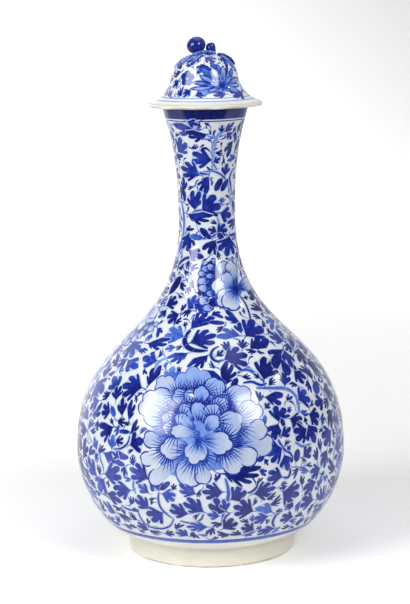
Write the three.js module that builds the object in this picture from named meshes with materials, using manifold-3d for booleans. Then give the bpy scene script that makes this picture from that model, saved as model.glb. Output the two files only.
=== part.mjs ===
import * as THREE from "three";
import { mergeVertices } from "three/addons/utils/BufferGeometryUtils.js";
import Module from "manifold-3d";

// A covered porcelain bottle vase: a foot ring, two thrown halves and a neck luted into one pot, and
// a bell-shaped cover that lifts off, with a moulded fruit sprig as its knob. Lengths are millimetres,
// +Z is up, and the origin is the middle of the face that the foot stands on.

// Foot ring
const footTopRadius = 66.3; // outer radius under the belly
const footTaper = 1; // how much narrower it is where it stands
const footHeight = 15.5;
const footWidth = 7.8; // across the ring, at its top
const footLedgeHeight = 8; // the fine step where the glaze was wiped away
const footLedgeStep = 0.5;
const footEdgeRound = 1.1; // both edges that touch the table

// Lower and upper halves of the pot, which meet at the widest place
const footReveal = 1.2; // how far the belly starts outside the foot
const underbellySpread = 19.8; // how far the underbelly runs out before it turns up
const underbellyRise = 3.7;
const bellyRadius = 105;
const bellyHeight = 79.8;
const bellyTurnBelow = 25.6; // pull of the curve below the widest place
const bellyTurnAbove = 99.8; // and above it
const bodyWall = 4.5;
const floorThickness = 5;

// Neck
const neckSeamHeight = 200; // where the neck was luted on
const waistRadius = 22.1;
const waistHeight = 262;
const waistLength = 5.5; // the short straight stretch at the narrowest place
const shoulderSweep = 100.9; // pull of the curve as the shoulder runs up into the neck
const mouthRadius = 33.3;
const mouthHeight = 346.5;
const flareStart = 46; // pull of the flare above the waist
const lipReach = 15.1; // and below the mouth
const lipLean = 0.24; // how far the lip leans out, per millimetre of height
const neckWall = 3.6;
const lipRound = 0.9; // both edges of the mouth

// Cover
const coverSeat = 0.3; // gap between the mouth and the brim that rests on it
const brimRadius = 43.8;
const brimThickness = 3.4;
const brimEdgeRound = 0.8;
const coverSpringRadius = 26; // where the brim's hollow curve ends and the dome begins
const coverSpringHeight = 21.7; // above the brim's underside
const coverHeight = 40;
const coverWall = 3.3;
const coverBoreRadius = 22.8;
const collarDepth = 8.6; // the locating ring that hangs inside the mouth
const collarWall = 2.9;
const collarClearance = 1; // between the collar and the bore of the neck
const collarChamfer = 0.8;

// Fruit sprig on the cover, laid out on a flat plan of the dome whose middle is the dome's top:
// plan x runs to the right and plan y to the back, both measured along the surface
const seating = 0.3; // gap that each moulded piece keeps to what it sits on
const fruitRadius = 7.5;
const fruitFlattening = 0.86;
const fruitX = -6;
const fruitY = -0.5;
const fruitRise = 6; // of its middle above the dome's top
const fruitLean = 0.28; // radians, towards its calyx
const calyxLength = 3.4; // the part of it that shows under the fruit
const calyxRadius = 5;
const budLength = 9.6;
const budRadius = 4.2;
const budX = 5.6;
const budY = -0.6;
const budRise = 3.7;
const budTilt = 0.8; // radians below level, towards the twig
const branchRadius = 1.7;
const branchRoute = [
  [-8.6, -11.6],
  [-4.6, -8.6],
  [-0.4, -5.6],
  [4.2, -5.2],
  [8.6, -4.4],
];
const twigRadius = 1.25;
const twigRoute = [
  [10.3, -3.6],
  [15.4, -2],
  [20.6, -2.6],
  [25.6, -4.8],
];
const leafThickness = 1.3;
const leaves = [
  { name: "leaf_left", x: -8.4, y: -8.4, heading: 3.75, length: 12.5, width: 5.2, bend: 0.25 },
  { name: "leaf_front", x: -3, y: -11.4, heading: 4.25, length: 10, width: 4.6, bend: -0.3 },
  { name: "leaf_right", x: 13.2, y: -6.2, heading: -0.55, length: 14, width: 6.4, bend: 0.2 },
];

// Fineness
const facetsRound = 44;
const knobFacets = 20;

const glaze = () => new THREE.MeshStandardMaterial({ color: 0xdfe5f0, roughness: 0.08 });
const cobalt = () => new THREE.MeshStandardMaterial({ color: 0x2a2f9e, roughness: 0.12 });
const bareBody = () => new THREE.MeshStandardMaterial({ color: 0xe8e4cf, roughness: 0.45 });

const point = (radius, height) => new THREE.Vector2(radius, height);
const wasm = await Module();
wasm.setup();

// Positions alone, shared vertices merged, and faces turned outwards by the sign of the volume.
function closed(geometry) {
  geometry.deleteAttribute("normal");
  geometry.deleteAttribute("uv");
  const merged = mergeVertices(geometry, 1e-4);
  const p = merged.attributes.position;
  const index = merged.index.array;
  const [a, b, c] = [new THREE.Vector3(), new THREE.Vector3(), new THREE.Vector3()];
  let volume = 0;
  for (let i = 0; i < index.length; i += 3) {
    a.fromBufferAttribute(p, index[i]);
    b.fromBufferAttribute(p, index[i + 1]);
    c.fromBufferAttribute(p, index[i + 2]);
    volume += a.dot(b.cross(c));
  }
  if (volume < 0) index.reverse();
  return merged;
}

// A profile of (radius, height) points turned round the vertical axis.
function turned(profile, facets = facetsRound) {
  return closed(new THREE.LatheGeometry(profile, facets).rotateX(Math.PI / 2));
}

function solidOf(geometry) {
  const { position } = geometry.attributes;
  const triVerts = new Uint32Array(geometry.index.array);
  return new wasm.Manifold(
    new wasm.Mesh({ numProp: 3, vertProperties: position.array, triVerts }),
  );
}

function geometryOf(solid) {
  const made = solid.getMesh();
  return new THREE.BufferGeometry()
    .setAttribute("position", new THREE.BufferAttribute(made.vertProperties, 3))
    .setIndex(new THREE.BufferAttribute(made.triVerts, 1));
}

// A body cut by each of the others; only the largest lump is kept where a cut leaves a crumb.
function cutBy(geometry, ...cutters) {
  const left = cutters.reduce((body, cutter) => body.subtract(solidOf(cutter)), solidOf(geometry));
  const lumps = left.decompose().sort((one, other) => other.volume() - one.volume());
  return geometryOf(lumps[0]);
}

function arc(cx, cy, radius, from, to, steps = 3) {
  return Array.from({ length: steps + 1 }, (_, i) => {
    const angle = from + ((to - from) * i) / steps;
    return point(cx + radius * Math.cos(angle), cy + radius * Math.sin(angle));
  });
}

const sampled = (curve, from, to, steps) =>
  Array.from({ length: steps + 1 }, (_, i) => curve.getPoint(from + ((to - from) * i) / steps));

// The curve's parameter at a height, for a curve that only climbs.
function parameterAt(curve, height) {
  let [low, high] = [0, 1];
  for (let i = 0; i < 40; i++) {
    const middle = (low + high) / 2;
    if (curve.getPoint(middle).y < height) low = middle;
    else high = middle;
  }
  return low;
}

// Outline of the pot, from the foot to the mouth
const underbelly = new THREE.CubicBezierCurve(
  point(footTopRadius + footReveal, footHeight),
  point(footTopRadius + footReveal + underbellySpread, footHeight + underbellyRise),
  point(bellyRadius, bellyHeight - bellyTurnBelow),
  point(bellyRadius, bellyHeight),
);
const shoulder = new THREE.CubicBezierCurve(
  point(bellyRadius, bellyHeight),
  point(bellyRadius, bellyHeight + bellyTurnAbove),
  point(waistRadius, waistHeight - shoulderSweep),
  point(waistRadius, waistHeight),
);
const flare = new THREE.CubicBezierCurve(
  point(waistRadius, waistHeight + waistLength),
  point(waistRadius, waistHeight + waistLength + flareStart),
  point(mouthRadius - lipLean * lipReach, mouthHeight - lipReach),
  point(mouthRadius, mouthHeight),
);

// The wall thins evenly from the neck's seam up to the waist.
function wallAt(height) {
  const share = (height - neckSeamHeight) / (waistHeight - neckSeamHeight);
  return THREE.MathUtils.lerp(bodyWall, neckWall, THREE.MathUtils.clamp(share, 0, 1));
}

// The point of the inner wall level with the outer one, for a wall measured square to the surface.
function levelInside(curve, t) {
  const p = curve.getPoint(t);
  return point(p.x - wallAt(p.y) / Math.abs(curve.getTangent(t).y), p.y);
}

const levelInner = (curve, from, to, steps) =>
  Array.from({ length: steps + 1 }, (_, i) => levelInside(curve, from + ((to - from) * i) / steps));

function footRing() {
  const bore = footTopRadius - footWidth;
  const footRestRadius = footTopRadius - footTaper;
  const step = footLedgeStep;
  const side = (z) =>
    THREE.MathUtils.lerp(footRestRadius, footTopRadius, z / footHeight);
  const profile = [
    point(bore, footHeight),
    ...arc(bore + footEdgeRound, footEdgeRound, footEdgeRound, Math.PI, 1.5 * Math.PI),
    ...arc(footRestRadius - footEdgeRound, footEdgeRound, footEdgeRound, -Math.PI / 2, 0),
    point(side(footLedgeHeight) - step, footLedgeHeight - step),
    point(side(footLedgeHeight), footLedgeHeight + step),
    point(footTopRadius, footHeight),
    point(bore, footHeight),
  ];
  return turned(profile);
}

// The lower half is a bowl with a level floor; its rim is a flat ring at the widest place.
function lowerBody() {
  const inside = [point(bellyRadius - bodyWall, bellyHeight)];
  const steps = 9;
  for (let i = 1; i < steps; i++) {
    const t = 1 - i / steps;
    const p = underbelly.getPoint(t);
    const d = underbelly.getTangent(t);
    inside.push(point(p.x - bodyWall * d.y, p.y + bodyWall * d.x));
  }
  const floor = footHeight + floorThickness;
  const above = inside.filter((p) => p.y > floor + 0.5);
  const last = above[above.length - 1];
  return turned([
    point(0, footHeight),
    ...sampled(underbelly, 0, 1, 11),
    ...above,
    point(last.x - (last.y - floor) * 2, floor),
    point(0, floor),
  ]);
}

function upperBody() {
  const seam = parameterAt(shoulder, neckSeamHeight);
  return turned([
    ...sampled(shoulder, 0, seam, 10),
    ...levelInner(shoulder, 0, seam, 10).reverse(),
    point(bellyRadius, bellyHeight),
  ]);
}

function neck() {
  const seam = parameterAt(shoulder, neckSeamHeight);
  const outer = [...sampled(shoulder, seam, 1, 4), ...sampled(flare, 0, 1, 6)];
  const inner = [...levelInner(shoulder, seam, 1, 4), ...levelInner(flare, 0, 1, 6)];
  const outerLip = outer.pop();
  const innerLip = inner.pop();
  const lip = [
    ...arc(outerLip.x - lipRound, mouthHeight - lipRound, lipRound, 0, Math.PI / 2),
    ...arc(innerLip.x + lipRound, mouthHeight - lipRound, lipRound, Math.PI / 2, Math.PI),
  ];
  return turned([...outer, ...lip, ...inner.reverse(), outer[0].clone()]);
}

// Radius of the neck's bore at a height on the flare.
const boreAt = (height) => levelInside(flare, parameterAt(flare, height)).x;

// Outline of the cover, from the top of the dome down to the brim's edge
const seat = mouthHeight + coverSeat;
const domeTop = seat + coverHeight;
const spring = point(coverSpringRadius, seat + coverSpringHeight);
const brimTop = point(brimRadius, seat + brimThickness);
const dome = new THREE.CubicBezierCurve(
  point(0, domeTop),
  point(spring.x * 0.7, domeTop),
  point(spring.x * 0.92, THREE.MathUtils.lerp(spring.y, domeTop, 0.63)),
  spring,
);
const ogee = new THREE.CubicBezierCurve(
  spring,
  point(spring.x + 1.9, THREE.MathUtils.lerp(brimTop.y, spring.y, 0.42)),
  point(THREE.MathUtils.lerp(spring.x, brimTop.x, 0.56), brimTop.y + 1.6),
  brimTop,
);
const collarRadius = boreAt(seat - collarDepth) - collarClearance;

// The bell, hollow from below; its inner wall runs up from the bore and follows the dome.
function coverDome() {
  const hollowTop = domeTop - coverWall;
  const hollow = new THREE.CubicBezierCurve(
    point(0, hollowTop),
    point(coverBoreRadius * 0.62, hollowTop),
    point(coverBoreRadius * 0.92, THREE.MathUtils.lerp(spring.y, hollowTop, 0.6)),
    point(coverBoreRadius, spring.y - coverWall),
  );
  const edge = brimEdgeRound;
  return turned([
    ...sampled(hollow, 0, 1, 7),
    point(coverBoreRadius, seat),
    ...arc(brimRadius - edge, seat + edge, edge, -Math.PI / 2, 0, 2),
    point(brimRadius, brimTop.y - edge),
    ...sampled(ogee, 0, 0.97, 8).reverse(),
    ...sampled(dome, 0, 1, 8).reverse().slice(1),
  ]);
}

function coverCollar() {
  const inner = collarRadius - collarWall;
  const low = seat - collarDepth;
  return turned([
    point(inner, low + collarChamfer),
    point(inner + collarChamfer, low),
    point(collarRadius - collarChamfer, low),
    point(collarRadius, low + collarChamfer),
    point(collarRadius, seat),
    point(inner, seat),
    point(inner, low + collarChamfer),
  ]);
}

// The cover's outer skin grown by the seating gap, as a solid that the sprig is cut by.
function coverGrown() {
  const line = [...sampled(dome, 0, 1, 24), ...sampled(ogee, 0.04, 1, 24)];
  const grown = line.map((p, i) => {
    const before = line[Math.max(i - 1, 0)];
    const after = line[Math.min(i + 1, line.length - 1)];
    const along = after.clone().sub(before).normalize();
    return point(i ? p.x - along.y * seating : 0, p.y + (i ? along.x : 1) * seating);
  });
  return turned([...grown, point(brimRadius, seat), point(0, seat)], facetsRound);
}

const coverLine = new THREE.CurvePath();
coverLine.add(dome);
coverLine.add(ogee);

// A place on the sprig's plan, lifted square to the cover's skin: the distance from the middle is
// measured down the dome's outline.
function onCover(x, y, lift = 0) {
  const length = coverLine.getLength();
  const share = THREE.MathUtils.clamp(Math.hypot(x, y) / length, 0, 1);
  const p = coverLine.getPoint(share);
  const along = coverLine
    .getPoint(Math.min(share + 0.01, 1))
    .sub(coverLine.getPoint(Math.max(share - 0.01, 0)))
    .normalize();
  const radius = p.x - along.y * lift;
  const azimuth = Math.atan2(y, x);
  return new THREE.Vector3(
    radius * Math.cos(azimuth),
    radius * Math.sin(azimuth),
    p.y + along.x * lift,
  );
}

// A skin through rings of equally many points, closed with a fan at each end.
function lofted(rings) {
  const around = rings[0].length;
  const points = rings.flat();
  const ends = [rings[0], rings[rings.length - 1]].map((ring) =>
    ring.reduce((sum, p) => sum.add(p), new THREE.Vector3()).divideScalar(around),
  );
  const index = [];
  for (let i = 0; i + 1 < rings.length; i++)
    for (let j = 0; j < around; j++) {
      const [a, b] = [i * around + j, i * around + ((j + 1) % around)];
      index.push(a, b, b + around, a, b + around, a + around);
    }
  const lastRing = (rings.length - 1) * around;
  for (let j = 0; j < around; j++) {
    const next = (j + 1) % around;
    index.push(points.length, next, j);
    index.push(points.length + 1, lastRing + j, lastRing + next);
  }
  return closed(
    new THREE.BufferGeometry().setFromPoints([...points, ...ends]).setIndex(index),
  );
}

// A rod along a route on the plan, thickest near its middle and half bedded in the cover's skin.
function rod(route, radius, growth = 0) {
  const steps = 14;
  const bedding = 0.45 * radius;
  const curve = new THREE.CatmullRomCurve3(route.map(([x, y]) => onCover(x, y, bedding)));
  const { normals, binormals } = curve.computeFrenetFrames(steps);
  const rings = [];
  for (let i = 0; i <= steps; i++) {
    const swell = 0.62 + 0.38 * Math.sin((Math.PI * i) / steps) ** 0.5;
    const centre = curve.getPointAt(i / steps);
    rings.push(
      Array.from({ length: 10 }, (_, j) => {
        const angle = (2 * Math.PI * j) / 10;
        const r = radius * swell + growth;
        return centre
          .clone()
          .addScaledVector(normals[i], r * Math.cos(angle))
          .addScaledVector(binormals[i], r * Math.sin(angle));
      }),
    );
  }
  return lofted(rings);
}

// A moulded leaf: it widens and tapers along a bent midrib, and its back is crowned.
function leaf({ x, y, heading, length, width, bend }) {
  const steps = 12;
  const across = 4;
  const rings = [];
  for (let i = 0; i <= steps; i++) {
    const t = i / steps;
    const turn = heading + bend * (t - 0.5) * 2;
    const along = length * t;
    const midX = x + along * Math.cos((heading + turn) / 2);
    const midY = y + along * Math.sin((heading + turn) / 2);
    const half = (width / 2) * Math.sin(Math.PI * (0.06 + 0.9 * t ** 0.85)) ** 0.8;
    const ring = [];
    for (const [side, direction] of [[1, 1], [0, -1]])
      for (let j = 0; j <= across; j++) {
        const q = direction * (-1 + (2 * j) / across);
        const crown = side ? leafThickness * (0.45 + 0.55 * (1 - q * q)) : -seating;
        ring.push(
          onCover(
            midX - q * half * Math.sin(turn),
            midY + q * half * Math.cos(turn),
            crown,
          ),
        );
      }
    rings.push(ring);
  }
  return lofted(rings);
}

// A body of revolution for the knob: leaned about Y, then set in its place.
function knob(profile, lean, place) {
  return closed(turned(profile, knobFacets).rotateY(lean).translate(place.x, place.y, place.z));
}

function fruit(growth = 0) {
  const radius = fruitRadius + growth;
  const profile = sampled(
    new THREE.EllipseCurve(0, 0, radius, radius * fruitFlattening, -Math.PI / 2, Math.PI / 2),
    0,
    1,
    12,
  );
  profile[0].x = profile[12].x = 0;
  return knob(profile, -fruitLean, new THREE.Vector3(fruitX, fruitY, domeTop + fruitRise));
}

// The bud is an egg whose sharper end points down the twig.
function bud(growth = 0) {
  const length = budLength + 2 * growth;
  const profile = Array.from({ length: 13 }, (_, i) => {
    const t = i / 12;
    const bulge = Math.sin(Math.PI * t) ** 0.75 * (1 + 0.35 * Math.cos(Math.PI * t));
    return point(i % 12 ? (budRadius + growth) * bulge * 0.95 : 0, length * (0.5 - t));
  });
  const place = new THREE.Vector3(budX, budY, domeTop + budRise);
  return knob(profile.reverse(), -Math.PI / 2 + budTilt + Math.PI, place);
}

// The calyx is a flared cup that the fruit sits in; it shares the fruit's lean and its foot is bedded
// in the top of the dome.
function calyx() {
  const low = -fruitRadius * fruitFlattening - calyxLength * 0.35;
  const profile = [
    point(0, low),
    point(calyxRadius * 0.55, low),
    point(calyxRadius * 0.8, low + calyxLength * 0.3),
    point(calyxRadius, low + calyxLength),
    point(0, low + calyxLength * 1.1),
  ];
  return knob(profile, -fruitLean, new THREE.Vector3(fruitX, fruitY, domeTop + fruitRise));
}

function named(name, geometry, material) {
  const mesh = new THREE.Mesh(geometry, material);
  mesh.name = name;
  return mesh;
}

// The pot stands still; the cover and everything luted to it lift together.
const vase = new THREE.Group();
vase.add(
  named("foot_ring", footRing(), bareBody()),
  named("lower_body", lowerBody(), glaze()),
  named("upper_body", upperBody(), glaze()),
  named("neck", neck(), glaze()),
);

const skin = coverGrown();
const grownFruit = fruit(seating);
const grownBud = bud(seating);
const grownBranch = rod(branchRoute, branchRadius, seating);
const grownTwig = rod(twigRoute, twigRadius, seating);
const grownCalyx = calyx().clone();
const cover = new THREE.Group();
cover.add(
  named("cover_dome", coverDome(), glaze()),
  named("cover_collar", coverCollar(), bareBody()),
  named("finial_fruit", cutBy(fruit(), skin), cobalt()),
  named("finial_bud", cutBy(bud(), skin, grownFruit), cobalt()),
  named("fruit_calyx", cutBy(calyx(), skin, grownFruit, grownBud, grownBranch), glaze()),
  named("finial_branch", cutBy(rod(branchRoute, branchRadius), skin, grownFruit, grownBud), cobalt()),
  named("finial_twig", cutBy(rod(twigRoute, twigRadius), skin, grownBud, grownBranch), cobalt()),
);
for (const shape of leaves)
  cover.add(
    named(
      shape.name,
      cutBy(leaf(shape), skin, grownFruit, grownBud, grownBranch, grownTwig, grownCalyx),
      cobalt(),
    ),
  );

const coveredVase = new THREE.Group();
coveredVase.add(vase, cover);
export default coveredVase;
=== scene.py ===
import math
import bpy
import numpy as np
from mathutils import Matrix, Vector
from mathutils.geometry import delaunay_2d_cdt


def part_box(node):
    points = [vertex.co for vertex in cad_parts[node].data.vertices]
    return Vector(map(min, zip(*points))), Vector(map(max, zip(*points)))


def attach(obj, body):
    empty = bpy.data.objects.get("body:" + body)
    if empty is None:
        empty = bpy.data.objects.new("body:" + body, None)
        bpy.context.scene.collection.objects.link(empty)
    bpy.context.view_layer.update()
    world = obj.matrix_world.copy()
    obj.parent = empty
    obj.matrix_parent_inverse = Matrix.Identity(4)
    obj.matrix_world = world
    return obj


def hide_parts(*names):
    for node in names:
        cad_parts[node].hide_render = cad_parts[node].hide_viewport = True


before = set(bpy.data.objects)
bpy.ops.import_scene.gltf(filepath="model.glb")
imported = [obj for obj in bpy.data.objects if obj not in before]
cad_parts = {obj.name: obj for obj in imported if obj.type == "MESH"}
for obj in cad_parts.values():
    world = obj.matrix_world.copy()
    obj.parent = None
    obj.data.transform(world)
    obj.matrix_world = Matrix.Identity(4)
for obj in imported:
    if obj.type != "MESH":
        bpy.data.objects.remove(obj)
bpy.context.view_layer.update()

# The view: the photographer stood a metre and a half away, a little above the shoulder of the
# vase, and held the camera about a degree off level, so the vase leans slightly to the left.
EYE = (-0.00255, -1.45, 0.45)
LOOK_DOWN = math.radians(10)
LEAN = math.radians(-0.99)
FOCAL_PIXELS = 1891
PHOTO_HEIGHT = 604
SENSOR = 36
camera = bpy.data.objects.new("camera", bpy.data.cameras.new("camera"))
camera.data.sensor_fit = "VERTICAL"
camera.data.sensor_height = SENSOR
camera.data.lens = SENSOR * FOCAL_PIXELS / PHOTO_HEIGHT
camera.matrix_world = (
    Matrix.Translation(EYE)
    @ Matrix.Rotation(math.pi / 2 - LOOK_DOWN, 4, "X")
    @ Matrix.Rotation(LEAN, 4, "Z")
)
bpy.context.scene.collection.objects.link(camera)
bpy.context.scene.camera = camera
bpy.context.scene.view_settings.view_transform = "Standard"

# The studio: a white paper sweep under and behind the vase, a wide soft lamp on the left, a
# narrower one on the right, a weak one overhead and three small ones for the sharp glints. The
# room in front of the vase is dim. The sweep also carries a painted glow, seen by the camera and in
# reflections, that is stronger at the left and towards the back and dimmer to the upper right.
def node(tree, kind, links=(), **settings):
    """A node whose inputs, given by label or number, are constants or come from other outputs."""
    made = tree.nodes.new(kind)
    for key, value in settings.items():
        setattr(made, key, value)
    for key, value in links:
        if isinstance(value, bpy.types.NodeSocket):
            tree.links.new(value, made.inputs[key])
        else:
            made.inputs[key].default_value = value
    return made


def ramp(tree, source, stops):
    """A colour ramp through (position, colour) stops."""
    made = node(tree, "ShaderNodeValToRGB", [("Fac", source)])
    elements = made.color_ramp.elements
    elements[0].position, elements[1].position = stops[0][0], stops[-1][0]
    elements[0].color, elements[1].color = (*stops[0][1], 1), (*stops[-1][1], 1)
    for position, colour in stops[1:-1]:
        elements.new(position).color = (*colour, 1)
    return made.outputs["Color"]


def remap(tree, value, start, end, low=0.0, high=1.0):
    """A value scaled so that start becomes low and end becomes high, and held between them."""
    links = [("Value", value), ("From Min", start), ("From Max", end), ("To Min", low), ("To Max", high)]
    return node(tree, "ShaderNodeMapRange", links).outputs["Result"]


def maths(tree, operation, *values):
    """The outcome of one sum of values, such as ADD, SUBTRACT, MULTIPLY or ABSOLUTE."""
    return node(tree, "ShaderNodeMath", list(enumerate(values)), operation=operation).outputs[0]


def sweep(depth, width, rise):
    """A floor that runs back and then curves up into a wall: a quarter circle joins the two. Its
    paper has a painted glow that the camera and reflections see.
    """
    front, bend = -0.28, 0.9
    profile = [(front, 0.0), (depth, 0.0)]
    for turn in np.linspace(0, math.pi / 2, 17)[1:]:
        profile.append((depth + bend * math.sin(turn), bend - bend * math.cos(turn)))
    profile.append((depth + bend, rise))
    corners = [(side * width, y, z) for y, z in profile for side in (-1, 1)]
    mesh = bpy.data.meshes.new("paper_sweep")
    mesh.from_pydata(corners, [], [(i, i + 1, i + 3, i + 2) for i in range(0, len(corners) - 2, 2)])
    mesh.polygons.foreach_set("use_smooth", np.ones(len(mesh.polygons), bool))
    material = bpy.data.materials.new("white_paper_painted_glow")
    material.use_nodes = True
    shader = material.node_tree.nodes["Principled BSDF"]
    shader.inputs["Base Color"].default_value = (0.9, 0.9, 0.9, 1)
    shader.inputs["Roughness"].default_value = 0.7
    tree = material.node_tree
    place = node(tree, "ShaderNodeTexCoord").outputs["Object"]
    apart = node(tree, "ShaderNodeSeparateXYZ", [("Vector", place)]).outputs
    # Painted glow: stronger towards the back and twice as strong at the left, where it lightens the floor's
    # shade, and dimmer towards the upper right; reflections see it only further back.
    across = remap(tree, maths(tree, "ADD", apart["X"], apart["Z"]), 0.3, 0.75)
    painted_glow = ramp(tree, across, [(0.0, (1, 1, 1)), (1.0, (0.45, 0.45, 0.45))])
    far = remap(tree, apart["Y"], 0.2, 1.3, 0.15, 0.57)
    left = remap(tree, apart["X"], -0.22, 0.02, 2.0, 1.0)
    ray = node(tree, "ShaderNodeLightPath").outputs
    mirrored = maths(tree, "MULTIPLY", ray["Is Glossy Ray"], remap(tree, apart["Y"], 0.25, 0.8))
    seen = maths(tree, "ADD", ray["Is Camera Ray"], mirrored)
    strength = maths(tree, "MULTIPLY", seen, maths(tree, "MULTIPLY", far, left))
    tree.links.new(painted_glow, shader.inputs["Emission Color"])
    tree.links.new(strength, shader.inputs["Emission Strength"])
    mesh.materials.append(material)
    made = bpy.data.objects.new("paper_sweep", mesh)
    bpy.context.scene.collection.objects.link(made)


def lamp(name, azimuth, elevation, distance, size, radiance):
    """A soft lamp that faces the belly; its power is radiance times area times pi."""
    azimuth, elevation = math.radians(azimuth), math.radians(elevation)
    aim = Vector((0, 0, 0.12))
    across, up = math.cos(elevation), math.sin(elevation)
    away = Vector((math.sin(azimuth) * across, -math.cos(azimuth) * across, up))
    light = bpy.data.lights.new(name, "AREA")
    light.shape = "RECTANGLE"
    light.size, light.size_y = size
    light.energy = radiance * size[0] * size[1] * math.pi
    made = bpy.data.objects.new(name, light)
    facing = away.to_track_quat("Z", "Y").to_matrix().to_4x4()
    made.matrix_world = Matrix.Translation(aim + away * distance) @ facing
    bpy.context.scene.collection.objects.link(made)


sweep(0.9, 3.0, 2.6)
lamp("left_softbox", -51, 28, 1.3, (0.66, 0.74), 8.8)
lamp("right_softbox", 38, 33, 1.3, (0.46, 0.6), 10)
lamp("overhead", 160, 78, 1.7, (1.6, 1.4), 1.1)
lamp("spark_high", -22, 49, 1.5, (0.03, 0.03), 140)
lamp("spark_low", -27, 23, 1.5, (0.03, 0.03), 140)
lamp("spark_side", 92, 42, 1.5, (0.04, 0.04), 140)
world = bpy.data.worlds.new("room")
bpy.context.scene.world = world
world.use_nodes = True
room = world.node_tree.nodes["Background"].inputs
room["Color"].default_value = (0.98, 0.99, 1, 1)
seen = node(world.node_tree, "ShaderNodeLightPath").outputs["Is Camera Ray"]
world.node_tree.links.new(remap(world.node_tree, seen, 0.0, 1.0, 0.15, 0.95), room["Strength"])

# The painted porcelain: cobalt washed on the raw body under a clear glossy glaze, with an ivory
# glaze where the pot wasn't dipped in the blue-white one, and brown on the edges where the cover sits
# and the ring stands: partly wear, partly painted shade.
def group(name, inputs, outputs):
    """A node group with number or colour inputs, and outputs of the kinds given."""
    tree = bpy.data.node_groups.new(name, "ShaderNodeTree")
    for label, value in inputs.items():
        kind = "NodeSocketFloat" if isinstance(value, float) else "NodeSocketColor"
        tree.interface.new_socket(label, in_out="INPUT", socket_type=kind).default_value = value
    for label, kind in outputs.items():
        tree.interface.new_socket(label, in_out="OUTPUT", socket_type=kind)
    return tree, tree.nodes.new("NodeGroupInput"), tree.nodes.new("NodeGroupOutput")


def noise(tree, place, scale, detail=2.0):
    """Cloudy noise between 0 and 1; the scale is in clouds per metre."""
    links = [("Vector", place), ("Scale", scale), ("Detail", detail)]
    return node(tree, "ShaderNodeTexNoise", links).outputs["Fac"]


def mix(tree, share, first, second):
    """Two colours mixed: the first where the share is 0 and the second where it is 1."""
    return node(tree, "ShaderNodeMix", [(0, share), (6, first), (7, second)], data_type="RGBA").outputs[2]


def edge_wear_and_shade():
    """Glaze colour browned in patches near an edge height: partly fired wear, partly painted shade."""
    inputs = {"Edge": 0.0, "Color": (0.8, 0.8, 0.7, 1)}
    tree, given, made = group("edge_wear_and_shade", inputs, {"Color": "NodeSocketColor"})
    place = node(tree, "ShaderNodeTexCoord").outputs["Object"]
    height = node(tree, "ShaderNodeSeparateXYZ", [("Vector", place)]).outputs["Z"]
    away = maths(tree, "ABSOLUTE", maths(tree, "SUBTRACT", height, given.outputs["Edge"]))
    close = remap(tree, away, 0.0004, 0.0016, 0.85, 0.0)
    patches = remap(tree, noise(tree, place, 55.0, 4.0), 0.4, 0.6)
    wear_and_shade = maths(tree, "MULTIPLY", close, patches)
    # The brown is partly fired wear and partly painted shade of the gap or the table under the edge.
    tree.links.new(mix(tree, wear_and_shade, given.outputs["Color"], (0.3, 0.22, 0.13, 1)), made.inputs["Color"])
    return tree


WEAR_AND_SHADE = edge_wear_and_shade()
COBALT_STOPS = [
    (0.0, (0.7, 0.73, 0.75)),
    (0.06, (0.57, 0.625, 0.73)),
    (0.13, (0.42, 0.495, 0.68)),
    (0.22, (0.26, 0.38, 0.72)),
    (0.35, (0.12, 0.23, 0.63)),
    (0.5, (0.045, 0.12, 0.5)),
    (0.65, (0.02, 0.055, 0.38)),
    (0.8, (0.008, 0.022, 0.27)),
    (1.0, (0.003, 0.007, 0.13)),
]
IVORY_STOPS = [(0.0, (0.78, 0.775, 0.7)), (0.5, (0.2, 0.22, 0.4)), (1.0, (0.02, 0.02, 0.1))]


def cobalt_wash():
    """Colour of the painting: the cobalt laid on, pooled darker and thinned by the brush, and the
    ivory of the glaze where no blue-white was laid."""
    tree, given, made = group("cobalt_wash", {"Cobalt": 0.0, "Ivory": 0.0}, {"Color": "NodeSocketColor"})
    place = node(tree, "ShaderNodeTexCoord").outputs["Object"]
    clouds = maths(tree, "ADD", noise(tree, place, 260.0, 3.0), noise(tree, place, 28.0, 1.0))
    swing = maths(tree, "SUBTRACT", clouds, 1.0)
    strength = maths(tree, "MULTIPLY", given.outputs["Cobalt"], 0.8)
    cobalt = maths(tree, "ADD", given.outputs["Cobalt"], maths(tree, "MULTIPLY", swing, strength))
    blue = ramp(tree, cobalt, COBALT_STOPS)
    ivory = ramp(tree, cobalt, IVORY_STOPS)
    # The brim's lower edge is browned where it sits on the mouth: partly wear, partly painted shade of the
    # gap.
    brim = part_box("cover_dome")[0][2] + 0.0003
    wear_and_shade = node(tree, "ShaderNodeGroup", [("Edge", brim), ("Color", ivory)], node_tree=WEAR_AND_SHADE)
    tree.links.new(mix(tree, given.outputs["Ivory"], blue, wear_and_shade.outputs["Color"]), made.inputs["Color"])
    return tree


def glaze_surface():
    """Normal of the glaze: a faint orange peel over soft waves of the skin, and its gloss."""
    outputs = {"Normal": "NodeSocketVector", "Roughness": "NodeSocketFloat"}
    tree, given, made = group("glaze_surface", {"Depth": 0.00012}, outputs)
    place = node(tree, "ShaderNodeTexCoord").outputs["Object"]
    peel = noise(tree, place, 70.0)
    waves = noise(tree, place, 30.0, 1.0)
    deep = node(tree, "ShaderNodeBump", [("Height", waves), ("Strength", 0.5), ("Distance", 0.0012)])
    bump = node(
        tree,
        "ShaderNodeBump",
        [
            ("Height", peel),
            ("Strength", 0.5),
            ("Distance", given.outputs["Depth"]),
            ("Normal", deep.outputs["Normal"]),
        ],
    )
    tree.links.new(bump.outputs["Normal"], made.inputs["Normal"])
    tree.links.new(remap(tree, peel, 0.0, 1.0, 0.09, 0.17), made.inputs["Roughness"])
    return tree


WASH = cobalt_wash()
SURFACE = glaze_surface()


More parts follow.
